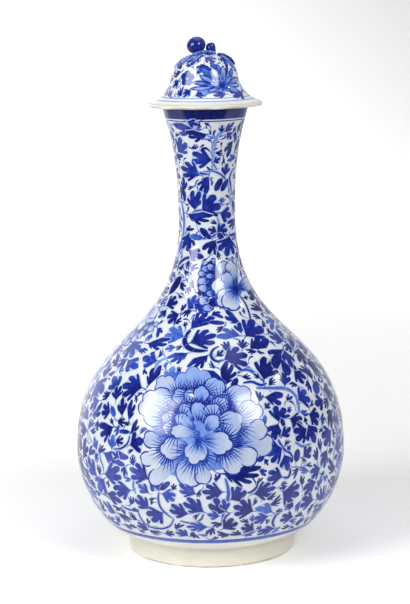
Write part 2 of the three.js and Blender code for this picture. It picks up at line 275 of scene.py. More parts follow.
def new_finish(name):
    """A new material with its node tree and its shader, which has the glaze's skin on it."""
    made = bpy.data.materials.new(name)
    made.use_nodes = True
    tree = made.node_tree
    shader = tree.nodes["Principled BSDF"]
    surface = node(tree, "ShaderNodeGroup", node_tree=SURFACE)
    tree.links.new(surface.outputs["Normal"], shader.inputs["Normal"])
    return made, tree, shader, surface


def painted_porcelain():
    """The wash in the colour that the mesh gives at each corner, under the glossy glaze."""
    made, tree, shader, surface = new_finish("painted_porcelain")
    cobalt = node(tree, "ShaderNodeAttribute", attribute_name="cobalt").outputs["Fac"]
    ivory = node(tree, "ShaderNodeAttribute", attribute_name="ivory").outputs["Fac"]
    wash = node(tree, "ShaderNodeGroup", [("Cobalt", cobalt), ("Ivory", ivory)], node_tree=WASH)
    tree.links.new(wash.outputs["Color"], shader.inputs["Base Color"])
    tree.links.new(surface.outputs["Roughness"], shader.inputs["Roughness"])
    shader.inputs["IOR"].default_value = 1.54
    return made


PORCELAIN = painted_porcelain()

# The outer skin of the pot, as it was thrown: an underbelly that runs out from the foot, the
# shoulder's long curve, a straight waist and a flared mouth. Lengths are millimetres from here on
# until a mesh is made.
MM = 0.001
FOOT_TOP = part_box("foot_ring")[1][2] / MM
BELLY = (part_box("upper_body")[1][0] / MM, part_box("upper_body")[0][2] / MM)
NECK_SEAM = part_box("neck")[0][2] / MM
MOUTH = (33.3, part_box("neck")[1][2] / MM)
UNDERBELLY_START = 67.5
WAIST = (22.1, 262.0, 267.5)
LIP_ROUND = 0.9
# How far the curves leave their ends along the foot, the belly, the waist and the mouth.
FOOT_PULL = (19.8, 3.7)
BELLY_PULLS = (25.6, 99.8)
WAIST_PULLS = (100.9, 46)
MOUTH_PULL = 15.1
MOUTH_SLOPE = 0.24
BODY_WALL = 4.5
NECK_WALL = 3.6
FLOOR_THICKNESS = 5


def bezier(a, b, c, d, count):
    """A cubic curve: four points blended by (1-t)^3, 3t(1-t)^2, 3t^2(1-t) and t^3."""
    t = np.linspace(0, 1, count)[:, None]
    a, b, c, d = np.array([a, b, c, d], float)
    return (1 - t) ** 3 * a + 3 * t * (1 - t) ** 2 * b + 3 * t * t * (1 - t) * c + t**3 * d


def unit(rows):
    """Rows scaled to a length of 1."""
    return rows / np.maximum(np.linalg.norm(rows, axis=-1), 1e-15)[..., None]


def directions(points):
    """Outward normals of a (radius, height) line that climbs with its outside on the right."""
    along = unit(np.gradient(points, axis=0))
    return np.c_[along[:, 1], -along[:, 0]]


def on_axis(theta, radius, height):
    """Angle, radius and height to metres; angle 0 faces the viewer at -Y and grows to the right."""
    spot = np.broadcast_arrays(radius * np.sin(theta), -radius * np.cos(theta), height)
    return MM * np.stack(spot, -1)


class Outline:
    """A turned skin, unrolled so that shapes on it keep their angles: the unrolled height is the sum
    of length over radius, and the unrolled width is the angle round the axis."""

    def __init__(self, points):
        step = np.hypot(*np.diff(points, axis=0).T)
        self.points = points
        self.length = np.r_[0, np.cumsum(step)]
        self.rise = np.r_[0, np.cumsum(step * 2 / (points[1:, 0] + points[:-1, 0]))]
        self.normal = directions(points)

    def at(self, rise):
        """The radius and the height at an unrolled height."""
        return [np.interp(rise, self.rise, self.points[:, i]) for i in (0, 1)]

    def rise_at(self, height):
        """The unrolled height of a height."""
        return float(np.interp(height, self.points[:, 1], self.rise))

    def spot(self, theta, height):
        """The unrolled place of an angle in degrees and a height."""
        return np.array([math.radians(theta), self.rise_at(height)])

    def place(self, unrolled):
        """Unrolled places, rolled up and in metres."""
        return on_axis(unrolled[:, 0], *self.at(unrolled[:, 1]))

    def facing(self, unrolled):
        """The outward normals at unrolled places."""
        out, up = [np.interp(unrolled[:, 1], self.rise, self.normal[:, i]) for i in (0, 1)]
        return unit(on_axis(unrolled[:, 0], out, up))


POT_LINE = np.vstack(
    [
        bezier(
            (UNDERBELLY_START, FOOT_TOP),
            (UNDERBELLY_START + FOOT_PULL[0], FOOT_TOP + FOOT_PULL[1]),
            (BELLY[0], BELLY[1] - BELLY_PULLS[0]),
            BELLY,
            300,
        ),
        bezier(
            BELLY,
            (BELLY[0], BELLY[1] + BELLY_PULLS[1]),
            (WAIST[0], WAIST[1] - WAIST_PULLS[0]),
            WAIST[:2],
            500,
        )[1:],
        bezier(
            (WAIST[0], WAIST[2]),
            (WAIST[0], WAIST[2] + WAIST_PULLS[1]),
            (MOUTH[0] - MOUTH_SLOPE * MOUTH_PULL, MOUTH[1] - MOUTH_PULL),
            MOUTH,
            300,
        ),
    ]
)
pot = Outline(POT_LINE[POT_LINE[:, 1] < MOUTH[1] - LIP_ROUND])

# The brushwork: a painter outlines and fills shapes with cobalt, one over another. A painting holds
# its shapes from back to front in unrolled places, and a map of what is already covered.
def inside(polygon, points):
    """Which points lie inside: a ray from them crosses the polygon's edges an odd number of times."""
    a, b = polygon[None], np.roll(polygon, -1, 0)[None]
    x, y = points[:, None, 0], points[:, None, 1]
    spans = (a[..., 1] > y) != (b[..., 1] > y)
    rise = np.where(b[..., 1] == a[..., 1], 1e-12, b[..., 1] - a[..., 1])
    return (spans & (x < a[..., 0] + (y - a[..., 1]) * (b[..., 0] - a[..., 0]) / rise)).sum(1) % 2 == 1


class Painting:
    """The shapes painted on an outline, each with the ends and the cobalt of its wash, and a map of
    small cells that says which places are taken."""

    CELL = 0.005

    def __init__(self, outline, low, high):
        self.outline, self.low, self.high = outline, low, high
        self.shapes, self.tones = [], []
        self.columns = int(2 * math.pi / self.CELL)
        self.taken = np.zeros((int((high - low) / self.CELL) + 1, self.columns), bool)

    def radius(self, place):
        """The radius of the outline at an unrolled place."""
        return float(self.outline.at(place[1])[0])

    def cells(self, points):
        """Rows and columns of places in the map."""
        column = np.floor((points[:, 0] + math.pi) / self.CELL).astype(int) % self.columns
        return np.floor((points[:, 1] - self.low) / self.CELL).astype(int), column

    def free(self, points):
        """Whether all points lie on the outline and no shape covers one."""
        row, column = self.cells(points)
        if row.min() < 0 or row.max() >= len(self.taken):
            return False
        return not self.taken[row, column].any()

    def cover(self, polygon):
        """Marks the cells inside a polygon as taken."""
        low, high = polygon.min(0) - self.CELL, polygon.max(0) + self.CELL
        x, y = np.arange(low[0], high[0], self.CELL), np.arange(low[1], high[1], self.CELL)
        grid = np.stack(np.meshgrid(x, y), -1).reshape(-1, 2)
        row, column = self.cells(grid[inside(polygon, grid)])
        kept = (row >= 0) & (row < len(self.taken))
        self.taken[row[kept], column[kept]] = True

    def add(self, polygon, heart, tip, tones, covers=True, behind=False):
        """Adds a shape whose tone runs evenly from the first at its heart to the second at its tip."""
        at = 0 if behind else len(self.shapes)
        self.shapes.insert(at, polygon)
        self.tones.insert(at, (*heart, *tip, *tones))
        if covers:
            self.cover(polygon)

    def tone(self, top, corners):
        """Cobalt at triangle corners, each within the shape that covers its triangle."""
        own = np.array(self.tones)[top][:, None]
        axis = own[..., 2:4] - own[..., :2]
        away = corners - own[..., :2]
        away[..., 0] = (away[..., 0] + math.pi) % (2 * math.pi) - math.pi
        share = (away * axis).sum(-1) / np.maximum((axis**2).sum(-1), 1e-12)
        return own[..., 4] + (own[..., 5] - own[..., 4]) * np.clip(share, 0, 1)


def turned(local, place, heading, radius):
    """Local millimetres, turned to a heading and set down at an unrolled place."""
    c, s = math.cos(heading), math.sin(heading)
    return place + local @ np.array([[c, s], [-s, c]]) / radius


def stroke(path, half_widths):
    """A brush stroke's outline: the path moved to either side by its half-width."""
    along = unit(np.gradient(path, axis=0))
    side = np.c_[-along[:, 1], along[:, 0]] * np.asarray(half_widths)[:, None]
    return np.vstack([path + side, (path - side)[::-1]])


SAME = 2e-5


def cut_skin(painting, seams, spacing):
    """Cuts the unrolled skin along every painted outline, and returns its places, its triangles and
    the number of the topmost shape that covers each triangle, or -1. The bare ground between is
    filled with rows of even triangles, which are 0.87 as high as they are wide."""
    outline, low, high = painting.outline, painting.low, painting.high
    points, edges, copies = [], [], []
    count = 0
    for number, shape in enumerate(painting.shapes):
        for shift in (-2 * math.pi, 0, 2 * math.pi):
            moved = shape + (shift, 0)
            if shift and (moved[:, 0].max() <= -math.pi or moved[:, 0].min() >= math.pi):
                continue
            points.append(moved)
            copies.append((number, moved))
            around = np.arange(count, count + len(moved))
            edges += zip(around.tolist(), np.roll(around, -1).tolist())
            count += len(moved)
    painted = count
    rings = [low, *seams, high]
    row_step, clearance = spacing * 0.87, 0.3 * spacing
    rises = [low]
    while rises[-1] < high:
        rises.append(rises[-1] + row_step / float(outline.at(rises[-1])[0]))
    rises = [v for v in rises if all(abs(v - r) > clearance / float(outline.at(v)[0]) for r in rings)]
    for row, v in enumerate(sorted(rises + rings)):
        columns = max(24, int(2 * math.pi * float(outline.at(v)[0]) / spacing))
        offset = 0.0 if v in rings or row % 2 else 0.5
        theta = -math.pi + 2 * math.pi * (np.arange(columns + 1) + offset) / columns
        theta = theta[(theta > -math.pi + 1e-6) & (theta < math.pi - 1e-6)]
        theta = np.r_[-math.pi, theta, math.pi]
        points.append(np.c_[theta, np.full(len(theta), v)])
        if v in rings:
            edges += [(i, i + 1) for i in range(count, count + len(theta) - 1)]
        count += len(theta)
    points = np.vstack(points)
    for side in (-math.pi, math.pi):
        on_side = painted + np.flatnonzero(points[painted:, 0] == side)
        edges += list(zip(on_side[:-1].tolist(), on_side[1:].tolist()))
    made = delaunay_2d_cdt([Vector(p) for p in points], edges, [], 0, 1e-6, False)
    places = np.array([tuple(v) for v in made[0]])
    for value in rings:
        places[abs(places[:, 1] - value) < SAME, 1] = value
    left, right = [np.flatnonzero(abs(places[:, 0] - side) < SAME) for side in (-math.pi, math.pi)]
    left, right = left[np.argsort(places[left, 1])], right[np.argsort(places[right, 1])]
    near = np.clip(np.searchsorted(places[left, 1], places[right, 1]), 1, len(left) - 1)
    near -= places[right, 1] - places[left[near - 1], 1] < places[left[near], 1] - places[right, 1]
    places[right, 1] = places[left[near], 1]
    places[left, 0], places[right, 0] = -math.pi, math.pi
    triangles = np.array(made[2])
    centre = places[triangles].mean(1)
    kept = (abs(centre[:, 0]) < math.pi) & (centre[:, 1] > low) & (centre[:, 1] < high)
    triangles, centre = triangles[kept], centre[kept]
    order = np.argsort(centre[:, 1])
    heights = centre[order, 1]
    top = np.full(len(triangles), -1)
    for number, shape in copies:
        first, last = np.searchsorted(heights, (shape[:, 1].min(), shape[:, 1].max()))
        near = order[first:last]
        near = near[(centre[near, 0] > shape[:, 0].min()) & (centre[near, 0] < shape[:, 0].max())]
        top[near[inside(shape, centre[near])]] = number
    return places, triangles, top


# Patches of surface and their joining: each piece below is a painted skin and plain turned patches
# that share their rings, so it is closed, and every corner carries its own normal, cobalt and ivory.
class Patch:
    """Triangles with a place and a facing for every vertex, and a cobalt, an ivory and a picture place
    for every corner."""

    def __init__(self, places, facing, triangles, picture, cobalt=0.0, ivory=0.0):
        self.places, self.facing = places, facing
        a, b, c = places[triangles].transpose(1, 0, 2)
        flat = np.cross(b - a, c - a)
        wrong = (flat * facing[triangles].sum(1)).sum(1) < 0
        self.triangles = np.where(wrong[:, None], triangles[:, ::-1], triangles)
        self.picture = np.broadcast_to(picture, (len(places), 2))[self.triangles]

        def by_corner(value):
            """A value for every corner, in the order that the triangles are given now."""
            value = np.broadcast_to(value, triangles.shape)
            return np.where(wrong[:, None], value[:, ::-1], value)

        self.cobalt, self.ivory = by_corner(cobalt), by_corner(ivory)


PICTURE_MARGIN = 0.005


def picture_across(theta):
    """Where an angle lies across the picture: one turn runs from margin to margin."""
    return PICTURE_MARGIN + (1 - 2 * PICTURE_MARGIN) * (theta + math.pi) / (2 * math.pi)


def grid_triangles(rows, columns):
    """Two triangles for each cell of a grid of vertices that are numbered row by row."""
    grid = np.arange(rows * columns).reshape(rows, columns)
    a, b, c, d = grid[:-1, :-1].ravel(), grid[:-1, 1:].ravel(), grid[1:, 1:].ravel(), grid[1:, :-1].ravel()
    return np.vstack([np.c_[a, b, c], np.c_[a, c, d]])


def lathe(line, outside, columns, band, cobalt=0.0, ivory=0.0):
    """A line of (radius, height) points turned round the axis, facing outside to the line's right if
    1 and to its left if -1."""
    line = np.array(line, float)
    theta = np.linspace(-math.pi, math.pi, columns + 1)
    places, facing = [
        np.stack([on_axis(theta, r, z) for r, z in pairs]).reshape(-1, 3)
        for pairs in (line, directions(line) * outside)
    ]
    across, up = np.meshgrid(picture_across(theta), np.linspace(*band, len(line)))
    picture = np.c_[across.ravel(), up.ravel()]
    return Patch(places, facing, grid_triangles(len(line), columns + 1), picture, cobalt, ivory)


def between(ring, other, facing, band, ivory=0.0, cobalt=0.0):
    """Triangles from one ring of places to another of a different count, both sorted by angle; with
    no facing given they face away from the axis."""
    angles = [np.r_[np.arctan2(r[:, 0], -r[:, 1])] for r in (ring, other)]
    for side in angles:
        side[0], side[-1] = -math.pi, math.pi
    i, j, triangles = 0, 0, []
    while i < len(ring) - 1 or j < len(other) - 1:
        first = angles[0][i + 1] if i < len(ring) - 1 else math.inf
        second = angles[1][j + 1] if j < len(other) - 1 else math.inf
        if first <= second:
            triangles.append((i, i + 1, len(ring) + j))
            i += 1
        else:
            triangles.append((i, len(ring) + j, len(ring) + j + 1))
            j += 1
    places = np.vstack([ring, other])
    theta = np.r_[angles[0], angles[1]]
    if facing is None:
        facing = on_axis(theta, 1 / MM, 0)
    up = np.r_[np.full(len(ring), band[0]), np.full(len(other), band[1])]
    picture = np.c_[picture_across(theta), up]
    return Patch(places, np.broadcast_to(facing, places.shape), np.array(triangles), picture, cobalt, ivory)


def ring_at(radius, height, columns):
    """A ring of places round the axis, from the back to the back again."""
    return on_axis(np.linspace(-math.pi, math.pi, columns + 1), radius, height)


HALO = 0.02


def painted_patch(painting, cut, low, high, band, ivory_below):
    """The part of a cut skin between two rises, and its lowest and highest rings of places. Bare glaze
    has a faint halo of cobalt beside a shape, and is ivory below a height."""
    places, triangles, top = cut
    middle = places[triangles].mean(1)
    kept = (middle[:, 1] > low) & (middle[:, 1] < high)
    triangles, top, middle = triangles[kept], top[kept], middle[kept]
    painted = np.zeros(len(places))
    painted[triangles[top >= 0]] = HALO
    cobalt = np.where(top[:, None] >= 0, painting.tone(top, places[triangles]), painted[triangles])
    outline = painting.outline
    ivory = np.where(outline.at(middle[:, 1])[1] < ivory_below, 1.0, 0.0)
    used, flat = np.unique(triangles, return_inverse=True)
    flat = flat.reshape(-1, 3)
    own = places[used]
    up = np.interp(own[:, 1], outline.rise, outline.length)
    first, last = np.interp([low, high], outline.rise, outline.length)
    up = band[0] + (band[1] - band[0]) * (up - first) / (last - first)
    picture = np.c_[picture_across(own[:, 0]), up]
    cobalt = np.where(ivory[:, None] * (top[:, None] < 0), 0, cobalt)
    patch = Patch(outline.place(own), outline.facing(own), flat, picture, cobalt, ivory[:, None])
    rings = []
    for rise in (low, high):
        ring = own[abs(own[:, 1] - rise) < 1e-7]
        rings.append(outline.place(ring[np.argsort(ring[:, 0])]))
    return patch, rings


WELD = 2e-7


def piece(name, patches, finish, body, nodes):
    """One closed mesh out of patches: vertices in the same place become one."""
    places = np.vstack([p.places for p in patches])
    starts = np.cumsum([0] + [len(p.places) for p in patches])
    corners = np.vstack([p.triangles + start for p, start in zip(patches, starts)])
    facing = np.vstack([p.facing[p.triangles].reshape(-1, 3) for p in patches])
    picture = np.vstack([p.picture.reshape(-1, 2) for p in patches])
    cobalt = np.concatenate([p.cobalt.ravel() for p in patches])
    ivory = np.concatenate([p.ivory.ravel() for p in patches])
    steps = np.round(places / WELD).astype(int)
    _, first, welded = np.unique(steps, axis=0, return_index=True, return_inverse=True)
    corners = welded.ravel()[corners]
    real = (corners != np.roll(corners, 1, 1)).all(1)
    on_corner = np.repeat(real, 3)
    corners = corners[real]
    mesh = bpy.data.meshes.new(name)
    mesh.vertices.add(len(first))
    mesh.vertices.foreach_set("co", places[first].astype(np.float32).ravel())
    mesh.loops.add(3 * len(corners))
    mesh.loops.foreach_set("vertex_index", corners.astype(np.int32).ravel())
    mesh.polygons.add(len(corners))
    mesh.polygons.foreach_set("loop_start", np.arange(0, 3 * len(corners), 3, dtype=np.int32))
    mesh.polygons.foreach_set("loop_total", np.full(len(corners), 3, dtype=np.int32))
    mesh.update(calc_edges=True)
    mesh.polygons.foreach_set("use_smooth", np.ones(len(corners), bool))
    for label, values in (("cobalt", cobalt), ("ivory", ivory)):
        corner_values = mesh.attributes.new(label, "FLOAT", "CORNER").data
        corner_values.foreach_set("value", values[on_corner].astype(np.float32))
    layer = mesh.uv_layers.new(name="OFBake")
    layer.uv.foreach_set("vector", picture[on_corner].astype(np.float32).ravel())
    mesh.normals_split_custom_set(facing[on_corner].tolist())
    mesh.materials.append(finish)
    made = bpy.data.objects.new(name, mesh)
    bpy.context.scene.collection.objects.link(made)
    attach(made, body)
    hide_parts(*nodes)

# The flowers: many-petalled peonies seen half from the side. Every petal springs from one heart, is
# washed darker towards it, and carries a comb of fine dark strokes round its edge.
rng = np.random.default_rng(11)


def bent(local, length, bend):
    """A shape turned round its foot, more so further out."""
    reach = np.hypot(*local.T)
    angle = np.arctan2(local[:, 1], local[:, 0]) + bend * reach / length
    return np.c_[reach * np.cos(angle), reach * np.sin(angle)]


def petal(reach, width, lobes):
    """The end of a petal: part of an ellipse, scalloped by the size of a sine, or, without lobes, two
    arcs that meet in a point."""
    turn = np.linspace(-1, 1, 6 * max(lobes, 2) + 1)
    if lobes == 0:
        share = 1 - abs(turn)
        side = width / 2 * np.sign(turn) * np.sin(0.85 * np.pi * (1 - share)) ** 0.8
        return np.c_[reach * (0.3 + 0.7 * share), side]
    deep = rng.uniform(0.1, 0.2) if lobes > 1 else 0
    scallop = 1 - deep + deep * np.abs(np.sin(lobes * np.pi * (turn + 1) / 2)) ** 0.6
    scallop = scallop * (1 + rng.uniform(-0.06, 0.06) * np.sin(3 * turn + rng.uniform(0, 6)))
    turn = turn * 1.95
    along = reach - 0.6 * width + 0.6 * width * scallop * np.cos(turn)
    return np.c_[along, width / 2 * scallop * np.sin(turn)]


def comb(edge, outward, spacing, reach, half_width):
    """Fine strokes set along an edge like the teeth of a comb: each a kite that ends in a point."""
    length = np.r_[0, np.cumsum(np.linalg.norm(np.diff(edge, axis=0), axis=1))]
    stops = np.arange(spacing / 2, length[-1], spacing)
    roots, aims = [
        np.c_[np.interp(stops, length, line[:, 0]), np.interp(stops, length, line[:, 1])]
        for line in (edge, outward)
    ]
    aims = unit(aims)
    across = np.c_[-aims[:, 1], aims[:, 0]] * half_width
    reaches = (reach * rng.uniform(0.65, 1.15, len(roots)))[:, None]
    bends = across * rng.uniform(-1.5, 1.5, (len(roots), 1))
    left, right = roots + across + aims * 0.2, roots - across + aims * 0.2
    return np.stack([roots - aims, left, roots + aims * reaches + bends, right], 1)


# Petals from the back of a flower to its front, in millimetres from its heart: base, tip, width,
# scallops, the cobalt at the tip and the length of the comb of strokes round the edge.
PEONY = [
    (-4, 31, -9, 63, 43, 5, 0.2, 0), (-6, 24, -42, 48, 21, 3, 0.12, 0),
    (-13, 20, -53, 28, 32, 4, 0.1, 0), (2, 26, 19, 51, 20, 2, 0.2, 0),
    (13, 20, 44, 38, 24, 3, 0.12, 0), (21, 15, 52, 18, 22, 3, 0.1, 0), (20, -5, 57, -7, 17, 2, 0.1, 0),
    (23, -5, 53, 8, 16, 2, 0.12, 0), (-12, -6, -44, -2, 13, 2, 0.12, 0),
    (-6, -9, -45, -17, 11, 2, 0.07, 0), (-5, -10, -39, -30, 12, 1, 0.08, 0),
    (-2, -9, -12, -34, 21, 2, 0.1, 0), (4, -10, 4, -33, 12, 2, 0.08, 0),
    (11, -6, 31, -24, 17, 2, 0.08, 0), (11, -5, 43, -17, 15, 2, 0.08, 0),
    (9, 28, 26, 28, 14, 2, 0.18, 9), (-7, 21, -22, 40, 14, 3, 0.22, 9),
    (-2, 23, -8, 42, 13, 2, 0.22, 9), (-1, 23, 4, 44, 14, 3, 0.2, 9), (5, 16, 22, 33, 14, 3, 0.2, 9),
    (-8, 10, -30, 16, 15, 3, 0.2, 7), (-2, 12, -14, 28, 14, 3, 0.2, 8), (0, 12, 1, 30, 14, 2, 0.2, 8),
    (2, 10, 14, 28, 14, 3, 0.18, 8), (8, 5, 34, 15, 19, 3, 0.12, 10), (-2, 3, -27, 12, 13, 3, 0.17, 6),
    (-1, 6, -18, 19, 11, 3, 0.2, 7), (4, 6, 15, 18, 12, 3, 0.15, 9),
    (-6, -5, -29, -6, 17, 3, 0.09, 9), (4, 3, -21, 9, 11, 4, 0.12, 10),
    (1, 0, 25, -3, 18, 3, 0.09, 10), (0, 0, -3, -18, 18, 3, 0.1, 10),
]
SHOULDER_PEONY = [
    (0, 0, -22, 27, 11, 2, 0.85, 2), (0, 0, -29, 18, 12, 2, 0.97, 2), (0, 0, -32, 8, 13, 2, 0.97, 2),
    (0, 0, -28, -10, 9, 2, 0.95, 2), (0, 0, -31, -2, 12, 2, 0.97, 2), (-15, 24, -19, 29, 5, 1, 0.2, 0),
    (-17, 18, -23, 24, 6, 1, 0.15, 0), (-22, 19, -29, 20, 6, 1, 0.18, 0), (-25, 14, -32, 15, 5, 1, 0.12, 0),
    (-18, 13, -25, 13, 5, 1, 0.2, 0), (-22, 8, -32, 8, 7, 1, 0.12, 0), (-22, 2, -31, 2, 6, 1, 0.15, 0),
    (-19, -2, -25, -2, 5, 1, 0.2, 0), (-22, -7, -30, -8, 7, 1, 0.14, 0), (-20, -12, -27, -13, 5, 1, 0.2, 0),
    (0, 0, -10, 26, 14, 2, 0.14, 0), (0, 0, 4, 26, 15, 3, 0.1, 0), (0, 0, 25, 4, 12, 2, 0.08, 0),
    (0, 0, -20, 7, 19, 3, 0.06, 4), (0, 0, -18, -9, 15, 3, 0.1, 2), (0, 0, -11, -15, 14, 2, 0.08, 0),
    (0, 0, -9, 15, 11, 2, 0.12, 3),
]


def towards(angle):
    """A step of length 1 in a direction."""
    return np.array([math.cos(angle), math.sin(angle)])


def flower(painting, theta, height, turn, scale, petals, spacing, ink, line_width):
    """Petals laid one over another; each is washed darker towards its base, where a fan of fine
    strokes springs from it, and has a thin outline."""
    place, turn = painting.outline.spot(theta, height), math.radians(turn)
    radius = painting.radius(place)

    def add(local, heart, tip, tones, covers=True):
        """Paints a shape given in the flower's own millimetres from its heart."""
        parts = [turned(np.array(part) * scale, place, turn, radius) for part in (local, heart, tip)]
        painting.add(*parts, tones, covers)

    tips = np.array([p[2:4] for p in petals])
    around = []
    for angle in np.linspace(0, 2 * math.pi, 24, endpoint=False):
        aim = towards(angle)
        around.append(aim * max(8, (tips @ aim)[tips @ aim > 0.9 * np.hypot(*tips.T)].max(initial=0)) * 0.7)
    add(around, (0, 0), (1, 0), (0.34, 0.34))
    laid = []
    for *ends, width, lobes, shade, reach_out in petals:
        base, tip = np.array(ends).reshape(2, 2)
        reach = np.hypot(*(tip - base))
        aim = (tip - base) / reach
        aim = np.array([aim, [-aim[1], aim[0]]])
        edge = base + bent(petal(reach, width, lobes), reach, rng.uniform(-0.12, 0.12)) @ aim
        shade = shade + rng.uniform(-0.02, 0.03)
        laid.append((base, tip, width, edge, aim, shade, reach_out))

    def fine(local, heart, tip, tones, over):
        """Paints a fine stroke, unless a petal laid later hides all of it."""
        if not any(inside(np.vstack([other[0], other[3]]), local).all() for other in laid[over + 1 :]):
            add(local, heart, tip, tones, False)

    for i, (base, tip, width, edge, aim, shade, reach_out) in enumerate(laid):
        reach = np.hypot(*(tip - base))
        dark = max(ink, shade + 0.35)
        if reach_out:
            middle = base + (tip - base) * (1 - 0.5 * width / reach)
            for tooth in comb(edge[2:-2], edge[2:-2] - middle, spacing, reach_out * 1.3, 0.62 / scale**0.5):
                fine(tooth, tooth[0], tooth[2], (0.82, 0.62), i)
        middle = base + 0.75 * (tip - base)
        add(np.vstack([base, edge]), base + 0.1 * (tip - base), middle, (max(0.3, shade + 0.08), shade))
        lanes = np.arange(-0.42, 0.43, spacing / width / scale)
        for lane in lanes + rng.uniform(-0.02, 0.02, len(lanes)):
            far = reach * rng.uniform(0.45, 0.7) * (1 - 0.8 * lane**2)
            side = 0.42 / scale**0.5
            ray = [(0.08 * reach, 0.22 * lane * width), (0.4 * far, 0.5 * lane * width - side)]
            ray += [(far, lane * width), (0.4 * far, 0.5 * lane * width + side)]
            ray = base + np.array(ray) @ aim
            fine(ray, ray[0], ray[2], (0.78, 0.5), i)
        line = line_width / scale**0.5 * rng.uniform(0.7, 1.4, len(edge))
        line[[0, -1]] = 0.05
        add(stroke(edge, line), base, tip, (dark, dark - 0.12))
    eye = np.linspace(0, 2 * math.pi, 10, endpoint=False)
    add(2.6 * np.c_[np.cos(eye), 0.8 * np.sin(eye)], (0, 0), (3, 0), (0.85, 0.6), False)
    for angle in np.radians(np.arange(0, 360, 20)) + rng.uniform(-0.1, 0.1, 18):
        aim = towards(angle)
        side = np.array([-aim[1], aim[0]]) * 0.5 / scale**0.5
        far = rng.uniform(4.5, 9)
        ray = np.array([0.3 * aim, 0.3 * far * aim - side, far * aim, 0.3 * far * aim + side])
        add(ray, ray[0], ray[2], (0.85, 0.6), False)


# The leaves and the scroll: lobed leaves hang to either side of thin curling stems, and smaller ones
# and comma strokes fill what is left.
def leaf(length, breadth, fingers, depth, first, last, fall):
    """A leaf with round fingers between a first and a last direction from its stalk: the reach falls
    off to either side, and is cut in between the fingers by arcs of a circle. It narrows to its stalk."""
    place = np.linspace(0, 1, (6 if length > 9 else 4) * fingers + 1)
    within = abs(2 * ((place * fingers) % 1) - 1)
    within[-1] = 1
    finger = 1 - depth * (1 - np.sqrt(1 - 0.97 * within**2))
    angle = first + (last - first) * place
    reach = length * (1 - fall * (abs(angle) / max(last, -first)) ** 1.3) * finger
    along, aside = reach * np.cos(angle), breadth * reach * np.sin(angle)
    aside *= np.clip(along / (0.45 * length), 0.02, 1) ** 0.6
    return np.vstack([[0, 0], np.c_[along, aside]])


def hand(length, breadth, fingers, depth):
    """A leaf with its fingers spread evenly to both sides."""
    return leaf(length, breadth, fingers, depth, -1.1, 1.1, 0.42)


def wing(length, breadth, fingers, depth):
    """A leaf whose back is smooth and bowed, with all its fingers to one side."""
    shape = leaf(length, breadth, fingers, depth, -0.22, 1.45, 0.45)
    back = np.array([(0.3, -0.1), (0.6, -0.17)]) * length
    return np.vstack([shape[:1], back, shape[2:]])


def oval(length, breadth):
    """An ellipse that begins at its foot; its breadth is a share of its length."""
    turn = np.linspace(0, 2 * math.pi, 12, endpoint=False)
    return np.c_[length / 2 * (1 - np.cos(turn)), breadth * length / 2 * np.sin(turn)]


def comma(length, width):
    """A curled stroke: a round head on a tail that thins towards its foot."""
    t = np.linspace(0, 1, 7)
    half = width * (0.12 + 0.88 * t**2.2) * np.sqrt(np.clip(1 - ((t - 0.75) / 0.27).clip(0) ** 2, 0, 1))
    bow = 0.25 * length * np.sin(np.pi * t * 0.9)
    return np.vstack([np.c_[length * t, bow + half], np.c_[length * t, bow - half][::-1]])


def bled(shape, width):
    """A shape grown by a width, for the pale rim where the cobalt bled into the glaze."""
    middle = shape.mean(0)
    away = shape[::2] - middle
    return middle + away * (1 + width / np.maximum(np.hypot(*away.T), 0.5))[:, None]


def stalk(painting, place, heading, length, half_width, tone, under):
    """A short curved stroke that runs back from a leaf's foot and thins out."""
    radius = painting.radius(place)
    curl = heading + math.pi + rng.choice([-1, 1]) * np.linspace(0, 0.9, 4)
    walk = np.cumsum(np.c_[np.cos(curl), np.sin(curl)] * length / 4, 0) / radius
    path = np.vstack([place - walk[:1], place, place + walk])
    shape = stroke(path, np.linspace(half_width, 0.3 * half_width, len(path)) / radius)
    wash = stroke(path, np.linspace(half_width + 0.7, half_width, len(path)) / radius)
    painting.add(shape, path[0], path[-1], (tone, tone - 0.2), False, under)
    if under:
        painting.add(wash, path[0], path[-1], (0.17, 0.12), False, True)


def place_leaf(painting, kind, theta, height, tip_theta, tip_height, breadth=0.8, dark=0.9):
    """Paints a leaf from its foot to its tip. Its kind is a letter, small where it is mirrored, and a
    number of fingers."""
    foot, tip = painting.outline.spot(theta, height), painting.outline.spot(tip_theta, tip_height)
    radius = painting.radius((foot + tip) / 2)
    length = np.hypot(*(tip - foot)) * radius
    if kind in "Cc":
        shape = comma(length, 0.2 * length)
    elif kind == "O":
        shape = oval(length, breadth)
    else:
        make = hand if kind[0] == "H" else wing
        shape = bent(make(length, 1.35 * breadth, int(kind[1]), 0.46), length, rng.uniform(-0.25, 0.25))
    shape = shape * (1, -1 if kind[0].islower() else 1)
    heading = math.atan2(*(tip - foot)[::-1])
    painting.add(turned(bled(shape, 0.75), foot, heading, radius), foot, tip, (0.13, 0.13), False)
    stalk(painting, foot, heading, 0.35 * length, 0.06 * length**0.8, 0.6, False)
    painting.add(turned(shape, foot, heading, radius), foot, tip, (dark, dark - rng.uniform(0, 0.22)))


def place_stem(painting, half_width, tone, *places):
    """A stem through places given as an angle and a height, thinned to both ends."""
    path = np.array([painting.outline.spot(*place) for place in places])
    fine = np.linspace(0, len(path) - 1, 5 * len(path))
    path = np.stack([np.interp(fine, range(len(path)), column) for column in path.T], 1)
    for _ in range(6):
        path[1:-1] = (path[:-2] + 2 * path[1:-1] + path[2:]) / 4
    width = half_width * np.sin(np.linspace(0.25, math.pi - 0.25, len(path))) ** 0.7
    radii = painting.outline.at(path[:, 1])[0]
    painting.add(stroke(path, (width + 0.7) / radii), path[0], path[-1], (0.16, 0.16), False)
    painting.add(stroke(path, width / radii), path[0], path[-1], (tone, tone - 0.05))


